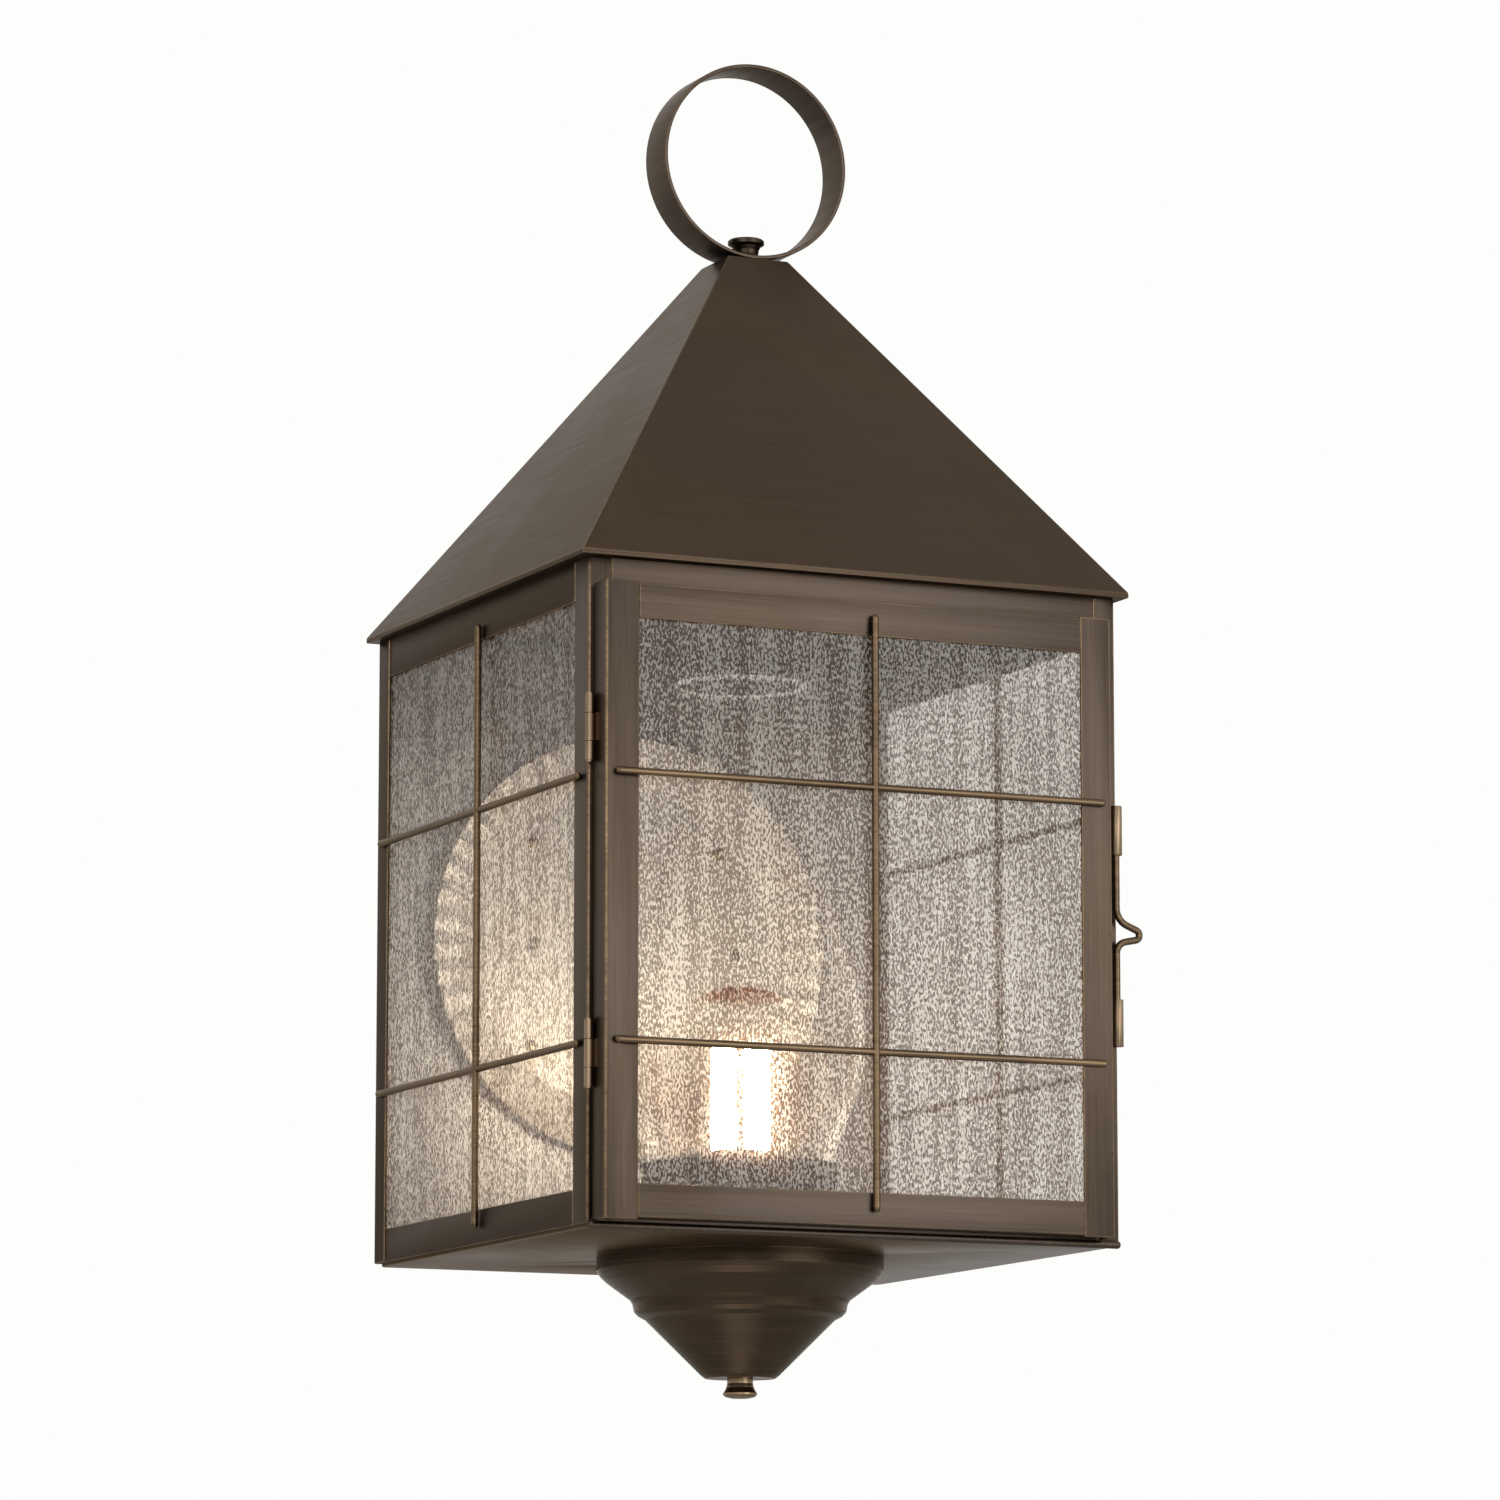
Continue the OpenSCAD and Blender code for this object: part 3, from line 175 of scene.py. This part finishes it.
def metal(name, colour, dark, light, grain="level", rough=(0.34, 0.46), wear=0.6, blotch=24.0,
          strokes=0.65, glance=(0.76, 0.72, 0.68), cool=None, turned_grain=0.0, shade_span=None,
          lit_glance=None):
    """Brushed antique bronze: fine strokes, soft blotches and edges worn down to the brass.

    The glance tints light that grazes the surface, and a shade span along x leads from it to the
    lit glance, a painted shade that dims the grazing light at one end.
    The cool colour shows in slow drifts, and a turned grain runs round z.
    """
    g = Graph(name)
    cool = cool or colour
    coarse = g.noise(GRAIN[grain], detail=4, roughness=0.65)
    fine = g.noise(tuple(v * FINER for v in GRAIN[grain]), detail=2, roughness=0.6)
    patches = g.noise((blotch,) * 3, detail=4, roughness=0.62, distortion=0.4)
    specks = g.noise(SPECK_CELLS, detail=2)
    drift = g.noise(DRIFT_CELLS, detail=2, roughness=0.5)
    lines = g.math("ADD", g.math("MULTIPLY", coarse, 0.7), g.math("MULTIPLY", fine, 0.3))
    tone = g.mix(g.ramp(patches, 0.34, 0.70), dark, light)
    tone = g.mix(0.55, tone, colour)
    tone = g.mix(g.ramp(drift, 0.40, 0.62, 0.0, 0.5), tone, cool)
    # Painted shade: the grazing reflection is dimmer at the low end of the span along x.
    if shade_span:
        glance = g.mix(g.ramp(g.along("X"), *shade_span), glance, lit_glance)
    tone = g.mix(g.ramp(lines, 0.46, 0.66, 0.0, strokes), tone, light)
    tone = g.mix(g.ramp(lines, 0.50, 0.32, 0.0, strokes), tone, dark)
    tone = g.mix(g.ramp(specks, 0.66, 0.80, 0.0, 0.25), tone, dark)
    edge = edge_mask(g, WORN_REACH)
    edge = g.math("MULTIPLY", edge, g.ramp(patches, 0.22, 0.60, 0.45, 1.0))
    edge = g.math("MULTIPLY", edge, wear, clamp=True)
    tone = g.mix(edge, tone, WORN)
    uneven = g.math("ADD", g.math("MULTIPLY", lines, 0.6), g.math("MULTIPLY", patches, 0.4))
    relief = g.bump(lines, STROKE_DEPTH, 0.30)
    relief = g.bump(patches, BLOTCH_DEPTH, 0.08, normal=relief)
    shader = g.node("BsdfPrincipled", {
        "Base Color": tone, "Metallic": 1.0, "Roughness": g.ramp(uneven, 0.3, 0.7, *rough),
        "Normal": relief, "Specular Tint": glance,
    })
    if turned_grain:
        around = g.node("Tangent", direction_type="RADIAL", axis="Z").outputs[0]
        g.put(shader.inputs["Anisotropic"], turned_grain)
        g.put(shader.inputs["Tangent"], around)
    return g.finish(shader.outputs[0])


# How much finer the grain of a plain finish is than its blotches.
PLAIN_FINER = 14


def plain(name, colour, dark, rough=(0.35, 0.5), metallic=0.0, scale=60.0, bump=0.3, height_bands=()):
    """A finish with soft blotches of a darker tone and a fine uneven surface.

    Each height band gives the height where it is full, the height where it ends, and its colour,
    which it lays over the finish there.
    """
    g = Graph(name)
    patches = g.noise((scale,) * 3, detail=4, roughness=0.6)
    grain = g.noise((scale * PLAIN_FINER,) * 3, detail=3)
    tone = g.mix(g.ramp(patches, 0.35, 0.7), dark, colour)
    tone = g.mix(g.ramp(grain, 0.60, 0.75, 0.0, 0.35), tone, dark)
    for full, end, darkening in height_bands:
        tone = g.mix(g.ramp(g.along("Z"), full, end, 1.0, 0.0), tone, darkening)
    shader = g.node("BsdfPrincipled", {
        "Base Color": tone, "Metallic": metallic, "Roughness": g.ramp(patches, 0.3, 0.7, *rough),
        "Normal": g.bump(grain, STROKE_DEPTH, bump),
    }).outputs[0]
    return g.finish(shader)


# A pane's seeds, in cells per metre across it, upright and through it.
SEED_ACROSS, SEED_UPRIGHT, SEED_THROUGH = 1300.0, 600.0, 40.0
SEED_DEPTH = 0.5 * MM
# The broad upright runs among them: their cells across as a share of the seeds' own, their
# cells per metre upright, and their strength.
RUN_SHARE, RUN_UPRIGHT, RUN_STRENGTH = 0.16, 9.0, 0.24
# Where the noise stops being a dark dip and where it is a pale pebble.
DIP_END, PEBBLE_START = 0.478, 0.562
# How far a dark dip and a pale pebble cover what is behind the pane.
DIP_COVER, PEBBLE_COVER = 0.71, 0.43
SEED_PALE, SEED_DARK, SEED_AMBER = (0.86, 0.82, 0.77), (0.040, 0.028, 0.021), (0.16, 0.070, 0.032)
# The share of the seeds' look that is light from behind, and the share of that which is blurred.
BACKLIT, BLURRED = 0.5, 0.35


def seeded_glass(name, thin_axis):
    """The outer face of a seeded pane: pale upright pebbles between dark dips.

    The dips turn amber where light shines through them.
    """
    g = Graph(name)
    size = [SEED_ACROSS, SEED_ACROSS, SEED_UPRIGHT]
    size[thin_axis] = SEED_THROUGH
    broad = (size[0] * RUN_SHARE, size[1] * RUN_SHARE, RUN_UPRIGHT)
    pebbles = g.noise(tuple(size), detail=2.0, roughness=0.5, distortion=0.2)
    runs = g.noise(broad, detail=2, roughness=0.6)
    runs = g.math("MULTIPLY", g.math("SUBTRACT", runs, 0.5), RUN_STRENGTH)
    cells = g.math("ADD", pebbles, runs)
    pale = g.ramp(cells, DIP_END, PEBBLE_START)
    tone = g.mix(pale, SEED_DARK, SEED_PALE)
    alpha = g.ramp(pale, 0.0, 1.0, DIP_COVER, PEBBLE_COVER, smooth=False)
    relief = g.bump(cells, SEED_DEPTH, 0.5)
    front = g.node("BsdfPrincipled", {
        "Base Color": tone, "Roughness": 0.25, "IOR": 1.5, "Normal": relief,
    }).outputs[0]
    lit = g.mix(pale, SEED_AMBER, SEED_PALE)
    through = g.node("BsdfTranslucent", {"Color": lit, "Normal": relief}).outputs[0]
    blurred = g.node("BsdfRefraction", {"Color": lit, "Roughness": 0.9, "IOR": 1.06}).outputs[0]
    body = g.mix_shader(BACKLIT, front, g.mix_shader(BLURRED, through, blurred))
    clear = g.node("BsdfTransparent", {"Color": (1.0, 0.992, 0.98)}).outputs[0]
    return g.finish(g.mix_shader(alpha, clear, body))


HAZE_CELLS, HAZE_DEPTH = (60, 60, 40), 0.4 * MM
# Upright pale streaks in glass, which are painted highlights, and the heights where they fade in
# and are full.
STREAK_CELLS, STREAK_FROM, STREAK_FULL = (330, 330, 5), 0.0, 0.05
# What clear glass lets through.
CLEAR = (0.985, 0.98, 0.97)


def thin_glass(name, tint, face, edge, milky=0.0, highlight_streaks=0.0, painted_glow=0.0, outline=3.0, darkening=None):
    """Clear glass that is as solid as face seen straight on, and as edge at its outline.

    The outline is thinner as its power rises. Milky glass takes light from behind, and
    highlight streaks are pale upright lines near its top, painted highlights. A painted glow
    makes a cut edge shine as though lamp light were carried to it along the glass. A darkening
    gives the height where it starts, the height where it is full, and its colour.
    """
    g = Graph(name)
    haze = g.noise(HAZE_CELLS, detail=3)
    rim = g.node("LayerWeight", {"Blend": 0.35}).outputs["Facing"]
    rim = g.math("POWER", rim, outline)
    alpha = g.ramp(rim, 0.0, 1.0, face, edge, smooth=False)
    alpha = g.math("MULTIPLY", alpha, g.ramp(haze, 0.3, 0.7, 0.75, 1.2), clamp=True)
    # Pale upright streaks near the top are painted highlights.
    if highlight_streaks:
        lines = g.noise(STREAK_CELLS, detail=2, roughness=0.5)
        lines = g.math("MULTIPLY", g.ramp(lines, 0.60, 0.70, 0.0, highlight_streaks),
                       g.ramp(g.along("Z"), STREAK_FROM, STREAK_FULL))
        alpha = g.math("ADD", alpha, lines, clamp=True)
    # The emission is a painted glow on glass, which is no lamp.
    shine = g.node("BsdfPrincipled", {
        "Base Color": g.mix(g.ramp(haze, 0.3, 0.7), tint, (0.92, 0.92, 0.90)),
        "Roughness": 0.05, "IOR": 1.48, "Normal": g.bump(haze, HAZE_DEPTH, 0.15),
        "Emission Color": tint, "Emission Strength": painted_glow,
    }).outputs[0]
    through = g.node("BsdfTranslucent", {"Color": tint}).outputs[0]
    shine = g.mix_shader(milky, shine, through)
    let_through = CLEAR
    if darkening:
        start, full, colour = darkening
        let_through = g.mix(g.ramp(g.along("Z"), start, full), CLEAR, colour)
    clear = g.node("BsdfTransparent", {"Color": let_through}).outputs[0]
    return g.finish(g.mix_shader(alpha, clear, shine))


def glow(name, colour, strength):
    """The skin of a lamp that is lit, a little uneven in colour."""
    g = Graph(name)
    flicker = g.noise((120, 120, 60), detail=2)
    tone = g.mix(g.ramp(flicker, 0.3, 0.7), colour, (1.0, 0.95, 0.82))
    shader = g.node("BsdfPrincipled", {
        "Base Color": tone, "Roughness": 0.3, "Emission Color": tone,
        "Emission Strength": strength,
    }).outputs[0]
    return g.finish(shader)


BRONZE = dict(colour=(0.061, 0.044, 0.032), dark=(0.050, 0.035, 0.025),
              light=(0.088, 0.066, 0.049), cool=(0.068, 0.053, 0.046))
# A darker copy of the bronze with a dimmer grazing reflection, for the side rails and rear posts:
# painted shade on the lantern's sides.
SHADED_SIDE_BRONZE = dict(colour=(0.040, 0.029, 0.021), dark=(0.033, 0.023, 0.016),
            light=(0.058, 0.043, 0.031), cool=(0.044, 0.034, 0.029), glance=(0.68, 0.64, 0.60))
ROOF = dict(colour=(0.061, 0.042, 0.028), dark=(0.050, 0.034, 0.022),
            light=(0.080, 0.056, 0.037), cool=(0.058, 0.041, 0.029))
CUP = dict(colour=(0.052, 0.036, 0.023), dark=(0.034, 0.023, 0.015), light=(0.090, 0.062, 0.038))
KNOB = dict(colour=(0.170, 0.120, 0.075), dark=(0.104, 0.072, 0.044), light=(0.260, 0.185, 0.112))
# Brighter than the bronze, a painted highlight on the hinge barrels and latch sleeves.
HINGE = dict(colour=(0.215, 0.155, 0.100), dark=(0.120, 0.086, 0.056), light=(0.34, 0.245, 0.155))
WIRE = dict(colour=(0.110, 0.074, 0.044), dark=(0.055, 0.037, 0.022), light=(0.190, 0.130, 0.076))
BRASS = dict(colour=(0.45, 0.34, 0.18), dark=(0.30, 0.22, 0.11), light=(0.58, 0.45, 0.26))

FINISH = {
    "bronze_level": metal("bronze_level", **BRONZE),
    "bronze_upright": metal("bronze_upright", grain="upright", **BRONZE),
    "bronze_worn": metal("bronze_worn", grain="upright", wear=0.9, **BRONZE),
    "roof": metal("roof_bronze", rough=(0.36, 0.5), wear=0.4, blotch=14.0, strokes=0.35, **ROOF),
    "ring": metal("ring_bronze", wear=0.4, **BRONZE),
    "cup": metal("cup_bronze", rough=(0.24, 0.34), turned_grain=0.4, strokes=0.25, **CUP),
    "wire": metal("wire_bronze", rough=(0.26, 0.38), wear=0.3, **WIRE),
    "panel": metal("panel_bronze", grain="across", **BRONZE),
    "shaded_side_level": metal("shaded_side_level", **SHADED_SIDE_BRONZE),
    "shaded_side_upright": metal("shaded_side_upright", grain="upright", **SHADED_SIDE_BRONZE),
    # The pan's grazing reflection dims towards its left end as painted shade.
    "pan": metal("pan_bronze", grain="across", rough=(0.30, 0.42), glance=(0.60, 0.50, 0.42),
                 shade_span=(0.01, 0.10), lit_glance=(1.0, 0.95, 0.90), **BRONZE),
    "knob": metal("knob_bronze", rough=(0.22, 0.34), wear=0.3, turned_grain=0.5, **KNOB),
    "ring_knob": metal("ring_knob_bronze", rough=(0.26, 0.38), wear=0.3,
                       colour=(0.036, 0.027, 0.019), dark=(0.022, 0.016, 0.011),
                       light=(0.066, 0.048, 0.032)),
    "hinge": metal("hinge_bronze", grain="upright", rough=(0.26, 0.38), wear=0.5, **HINGE),
    # Light worn brass on rounded edges, which is also a painted highlight there and on the bends
    # of posts and stiles.
    "edge": metal("worn_highlit_edge", (0.150, 0.102, 0.062), (0.080, 0.055, 0.035), (0.27, 0.185, 0.108),
                  rough=(0.28, 0.40), wear=0.0, blotch=60.0),
    # Worn brass on the roof's rounded edges, dimmer than the other edges, which is also a painted
    # highlight.
    "roof_edge": metal("roof_edge", (0.095, 0.067, 0.044), (0.060, 0.043, 0.029),
                       (0.150, 0.104, 0.064), rough=(0.30, 0.42), wear=0.0, blotch=40.0),
    # The lining is darker towards the bottom, and darker towards the top as painted shade under
    # the roof.
    "lining": plain("panel_lining", (0.56, 0.550, 0.53), (0.48, 0.470, 0.45), rough=(0.50, 0.60),
                    metallic=0.35, scale=30.0, height_bands=[(-0.125, -0.06, (0.42, 0.40, 0.38)),
                                                        (0.105, 0.05, (0.22, 0.19, 0.165))]),
    "hardware": metal("hardware_brass", wear=0.3, glance=(1, 1, 1), **BRASS),
    "brass": metal("socket_brass", wear=0.3, glance=(1, 1, 1), **BRASS),
    # The reflector is darker and warmer towards the bottom.
    "reflector": plain("reflector_satin", (0.90, 0.86, 0.79), (0.84, 0.79, 0.71),
                       rough=(0.50, 0.60), metallic=0.45, scale=30.0,
                       height_bands=[(-0.090, -0.02, (0.56, 0.48, 0.39))]),
    "rubber": plain("rubber", (0.035, 0.035, 0.036), (0.018, 0.018, 0.018), rough=(0.6, 0.8)),
    "ceramic": plain("ceramic", (0.86, 0.84, 0.78), (0.74, 0.71, 0.64), rough=(0.12, 0.25)),
    "dark_plastic": plain("dark_plastic", (0.03, 0.028, 0.026), (0.015, 0.014, 0.013)),
    "nickel": plain("nickel", (0.66, 0.63, 0.58), (0.45, 0.42, 0.38), rough=(0.2, 0.34),
                    metallic=1.0),
    "ground": plain("ground_green", (0.08, 0.30, 0.12), (0.04, 0.18, 0.07), rough=(0.3, 0.45),
                    metallic=0.4),
    "seeded_side": seeded_glass("seeded_glass_side", 0),
    "seeded_door": seeded_glass("seeded_glass_door", 1),
    "pane_back": thin_glass("pane_back", (0.9, 0.9, 0.88), 0.02, 0.20),
    "chimney": thin_glass("chimney_glass", (0.93, 0.93, 0.91), 0.008, 0.95, milky=0.10, highlight_streaks=0.34,
                          outline=3.7, darkening=(-0.035, -0.080, (0.90, 0.875, 0.855))),
    "glass_lip": thin_glass("glass_lip", (0.95, 0.95, 0.93), 0.45, 0.90, milky=0.3, painted_glow=0.55),
    "bulb": thin_glass("bulb_glass", (0.40, 0.19, 0.09), 0.010, 0.55, milky=0.08,
                       outline=5.0, darkening=(-0.0325, -0.028, (0.62, 0.36, 0.19))),
    "glow": glow("glowing_core", (1.0, 0.90, 0.75), 74.0),
}

# The finish of each CAD node that isn't taken from its slot.
NODE_FINISH = {
    "front_left_post": "bronze_upright", "front_right_post": "bronze_upright",
    "rear_left_post": "shaded_side_upright", "rear_right_post": "shaded_side_upright",
    "door_left_stile": "bronze_upright", "door_right_stile": "bronze_upright",
    "left_top_rail": "shaded_side_level", "left_bottom_rail": "shaded_side_level",
    "right_top_rail": "shaded_side_level", "right_bottom_rail": "shaded_side_level", "bottom_pan": "pan",
    "hanging_ring": "ring", "bottom_cup": "cup", "bottom_knob": "knob", "ring_knob": "ring_knob",
    "ring_washer": "ring_knob", "back_panel": "panel", "door_glass": "seeded_door",
    "hinge_door_leaves": "hinge", "hinge_post_leaves": "hinge", "hinge_pins": "hinge",
    "latch_sleeves": "hinge", "chimney_gallery": "cup",
}
SLOT_FINISH = {
    "plate_metal": "panel", "panel_metal": "panel", "bronze": "bronze_level",
    "bronze_worn": "bronze_worn", "roof": "roof", "wire": "wire", "hardware": "hardware",
    "brass": "brass", "reflector": "reflector", "rubber": "rubber", "ceramic": "ceramic",
    "dark_plastic": "dark_plastic", "nickel": "nickel", "ground_green": "ground",
    "seeded_glass": "seeded_side", "clear_glass": "chimney", "bulb_glass": "bulb", "glow": "glow",
}
for name, piece in nodes.items():
    piece.data.materials.clear()
    piece.data.materials.append(FINISH[NODE_FINISH.get(name, SLOT_FINISH[slot_of[name]])])


# The cosine from which on a face looks toward a side.
LOOKS_TOWARD = 0.9


def refinish(name, finish, toward, same_way):
    """Gives a second finish to the faces that look toward a side, or to all the others."""
    mesh = nodes[name].data
    mesh.materials.append(FINISH[finish])
    for face in mesh.polygons:
        faces_it = face.normal.dot(Vector(toward)) > LOOKS_TOWARD
        face.material_index = len(mesh.materials) - 1 if faces_it == same_way else 0


refinish("door_glass", "pane_back", (0, -1, 0), False)
refinish("left_glass", "pane_back", (-1, 0, 0), False)
refinish("right_glass", "pane_back", (1, 0, 0), False)
refinish("back_panel", "lining", (0, -1, 0), True)

# The chimney's cut top lip, which has a painted glow.
LIP_HEIGHT = 0.9 * MM
chimney = nodes["chimney_glass"].data
chimney.materials.append(FINISH["glass_lip"])
lip_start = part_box("chimney_glass")[1].z - LIP_HEIGHT
for face in chimney.polygons:
    height = sum(chimney.vertices[i].co.z for i in face.vertices) / len(face.vertices)
    if height > lip_start:
        face.material_index = 1


# Broad faces with holes, which need their normals weighed by area to look flat.
BROAD_PLATES = ("back_panel", "wall_plate")
SHARP_ANGLE, FLAT_ANGLE = math.radians(30), math.radians(1)
WELD_GAP = 0.01 * MM
# The least slant of an upright bend's faces, and the most that they may look up or down.
BEND_SLANT, BEND_RISE = 0.12, 0.1


def break_edges(name, width, finish="edge"):
    """Rounds a node's sharp edges and gives them a light worn finish that is also a painted
    highlight; on posts and stiles it paints the same highlight on the upright bends.
    """
    piece = nodes[name]
    piece.data.materials.append(FINISH[finish])
    last = len(piece.data.materials) - 1
    # The upright bends of posts and stiles take the light finish as a painted highlight.
    for face in piece.data.polygons:
        slanted = min(abs(face.normal.x), abs(face.normal.y)) > BEND_SLANT
        upright = abs(face.normal.z) < BEND_RISE
        if name.endswith(("_post", "_stile")) and slanted and upright:
            face.material_index = last
    weld = piece.modifiers.new("weld", "WELD")
    weld.merge_threshold = WELD_GAP
    merge = piece.modifiers.new("merge", "DECIMATE")
    merge.decimate_type = "DISSOLVE"
    merge.angle_limit = FLAT_ANGLE
    bevel = piece.modifiers.new("edges", "BEVEL")
    bevel.width, bevel.segments = width, 2
    bevel.limit_method, bevel.angle_limit = "ANGLE", SHARP_ANGLE
    bevel.material = last
    bevel.harden_normals = True
    if name in BROAD_PLATES:
        weigh = piece.modifiers.new("weigh", "WEIGHTED_NORMAL")
        weigh.mode, weigh.weight = "FACE_AREA", 50
    for face in piece.data.polygons:
        face.use_smooth = True


# The width of each node's rounded edges, in millimetres.
EDGE_WIDTH = {
    "front_left_post": 0.45, "front_right_post": 0.45, "rear_left_post": 0.45,
    "rear_right_post": 0.45, "header_rail": 0.30, "front_sill": 0.30, "left_top_rail": 0.30,
    "left_bottom_rail": 0.30, "right_top_rail": 0.30, "right_bottom_rail": 0.30,
    "door_left_stile": 0.45, "door_right_stile": 0.45, "door_top_rail": 0.30,
    "door_bottom_rail": 0.30, "bottom_pan": 0.40, "back_panel": 0.25, "wall_plate": 0.50,
    "hanging_ring": 0.25, "latch_sleeves": 0.30,
}
ROOF_EDGE_WIDTH = 0.35
for name, width in EDGE_WIDTH.items():
    break_edges(name, width * MM)
# The roof's edges take a dimmer worn finish that is also a painted highlight.
break_edges("roof_shell", ROOF_EDGE_WIDTH * MM, finish="roof_edge")


# Added pieces

ROUND_SIDES, CORNER_STEPS = 28, 5


def turned(work, start, along, profile):
    """Adds a closed round solid to a mesh; the profile gives (distance, radius) along its axis."""
    along = along.normalized()
    across = along.orthogonal().normalized()
    other = along.cross(across)
    rings = []
    for distance, radius in profile:
        rings.append([
            work.verts.new(start + along * distance + radius * (
                across * math.cos(2 * math.pi * k / ROUND_SIDES)
                + other * math.sin(2 * math.pi * k / ROUND_SIDES)))
            for k in range(ROUND_SIDES)
        ])
    for low_ring, high_ring in zip(rings, rings[1:]):
        for k in range(ROUND_SIDES):
            after = (k + 1) % ROUND_SIDES
            work.faces.new((low_ring[k], low_ring[after], high_ring[after], high_ring[k]))
    work.faces.new(rings[0][::-1])
    work.faces.new(rings[-1])


def rounded(length, radius, corner):
    """The profile of a rod with rounded ends."""
    turns = [math.pi / 2 * k / CORNER_STEPS for k in range(CORNER_STEPS + 1)]
    low_end = [(corner * (1 - math.cos(a)), radius - corner * (1 - math.sin(a))) for a in turns]
    return low_end + [(length - d, r) for d, r in reversed(low_end)]


def add_piece(name, solids, finish, body):
    """Makes one smooth-shaded piece that rides a body.

    Its solids are round, and each gives a start, a way and a profile.
    """
    work = bmesh.new()
    for solid in solids:
        turned(work, *solid)
    for face in work.faces:
        face.smooth = len(face.verts) == 4
    mesh = bpy.data.meshes.new(name)
    work.to_mesh(mesh)
    work.free()
    made = bpy.data.objects.new(name, mesh)
    scene.collection.objects.link(made)
    mesh.materials.append(FINISH[finish])
    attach(made, body)
    return made


# The lamp's glowing tube: two upright legs, joined by a thin bridge near their tops.
core_low, core_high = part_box("bulb_core")
core_middle = (core_low + core_high) / 2
LEG_RADIUS, LEG_OFFSET, LEG_CORNER = 5.0 * MM, 6.5 * MM, 1.6 * MM
BRIDGE_RADIUS, BRIDGE_DROP = 2.4 * MM, 6.5 * MM
leg_way = Vector((math.cos(math.radians(YAW)), math.sin(math.radians(YAW)), 0))
leg_height = core_high.z - core_low.z
leg_foot = Vector((core_middle.x, core_middle.y, core_low.z))
UP = Vector((0, 0, 1))
bridge_start = leg_foot - leg_way * LEG_OFFSET + UP * (leg_height - BRIDGE_DROP)
tube = add_piece("bulb_tube", [
    (leg_foot - leg_way * LEG_OFFSET, UP, rounded(leg_height, LEG_RADIUS, LEG_CORNER)),
    (leg_foot + leg_way * LEG_OFFSET, UP, rounded(leg_height, LEG_RADIUS, LEG_CORNER)),
    (bridge_start, leg_way, [(0, BRIDGE_RADIUS), (2 * LEG_OFFSET, BRIDGE_RADIUS)]),
], "glow", "bulb")
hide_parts("bulb_core")

# A rolled bead under the front sill, with its rounded end showing at the right.
sill_low, sill_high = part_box("front_sill")
BEAD_RADIUS, BEAD_CORNER = 1.5 * MM, 1.2 * MM
BEAD_PAST, BEAD_AHEAD, BEAD_BELOW = 8.8 * MM, 1.2 * MM, 0.7 * MM
bead_start = Vector((sill_low.x - BEAD_PAST, sill_low.y - BEAD_AHEAD, sill_low.z - BEAD_BELOW))
bead_length = sill_high.x - sill_low.x + 2 * BEAD_PAST
add_piece("sill_bead", [
    (bead_start, Vector((1, 0, 0)), rounded(bead_length, BEAD_RADIUS, BEAD_CORNER)),
], "bronze_worn", "lantern")


# Camera, light and stage

lens = bpy.data.cameras.new("photo_camera")
lens.sensor_width = SENSOR
lens.lens = FOCAL_PIXELS / PICTURE_PIXELS * SENSOR
lens.clip_start, lens.clip_end = 0.05, 60
camera = bpy.data.objects.new("photo_camera", lens)
scene.collection.objects.link(camera)
camera.location = EYE
camera.rotation_euler = (math.radians(90 + PITCH), 0, math.radians(YAW))
scene.camera = camera


def area(name, place, aim, size, power):
    """A soft lamp that faces the point it aims at."""
    light = bpy.data.lights.new(name, "AREA")
    light.shape = "RECTANGLE"
    light.size, light.size_y = size
    light.energy = power
    lamp = bpy.data.objects.new(name, light)
    scene.collection.objects.link(lamp)
    lamp.location = place
    lamp.rotation_euler = (Vector(aim) - Vector(place)).to_track_quat("-Z", "Y").to_euler()


area("front_left_box", (-1.9, -2.2, 1.0), (0, -0.1, 0), (1.4, 1.4), 14)
area("front_right_box", (1.0, -2.4, 0.20), (0, -0.2, 0.0), (1.5, 1.6), 22)
area("top_box", (-0.9, 0.2, 2.2), (0, -0.1, 0.1), (1.4, 1.4), 8)
area("near_box", (-1.02, -2.40, 0.22), (0, -0.15, -0.1), (0.40, 0.70), 3.2)
area("low_box", (-0.09, -0.28, -0.80), (0, -0.12, -0.15), (0.30, 0.30), 0.35)

# A white backdrop for the eye, which lights the lantern less than it shows.
world = Graph("studio", world=True)
path = world.node("LightPath")
seen = world.math("MAXIMUM", path.outputs["Is Camera Ray"], path.outputs["Is Glossy Ray"])
seen = world.math("MAXIMUM", seen, path.outputs["Is Transmission Ray"])
around = world.node("Background", {"Color": (1, 1, 1), "Strength": 0.55}).outputs[0]
backdrop = world.node("Background", {"Color": (0.985, 0.99, 0.975), "Strength": 1.0}).outputs[0]
scene.world = world.finish(world.mix_shader(seen, around, backdrop))

FLOOR_Z, FLOOR_RADIUS, FLOOR_SIDES = -0.85, 6.8, 180
floor_turns = [2 * math.pi * k / FLOOR_SIDES for k in range(FLOOR_SIDES)]
floor_mesh = bpy.data.meshes.new("studio_floor")
floor_mesh.from_pydata(
    [(FLOOR_RADIUS * math.cos(a), FLOOR_RADIUS * math.sin(a), FLOOR_Z) for a in floor_turns],
    [], [tuple(range(FLOOR_SIDES))])
floor = bpy.data.objects.new("studio_floor", floor_mesh)
scene.collection.objects.link(floor)
floor_mesh.materials.append(plain("studio_floor", (0.86, 0.86, 0.85), (0.83, 0.83, 0.82),
                                  rough=(0.8, 0.9), scale=2.0, bump=0.0))

scene.view_settings.view_transform = "Standard"

# A ray through door, chimney and bulb crosses up to fourteen faces of clear glass.
scene.cycles.transparent_max_bounces = 24
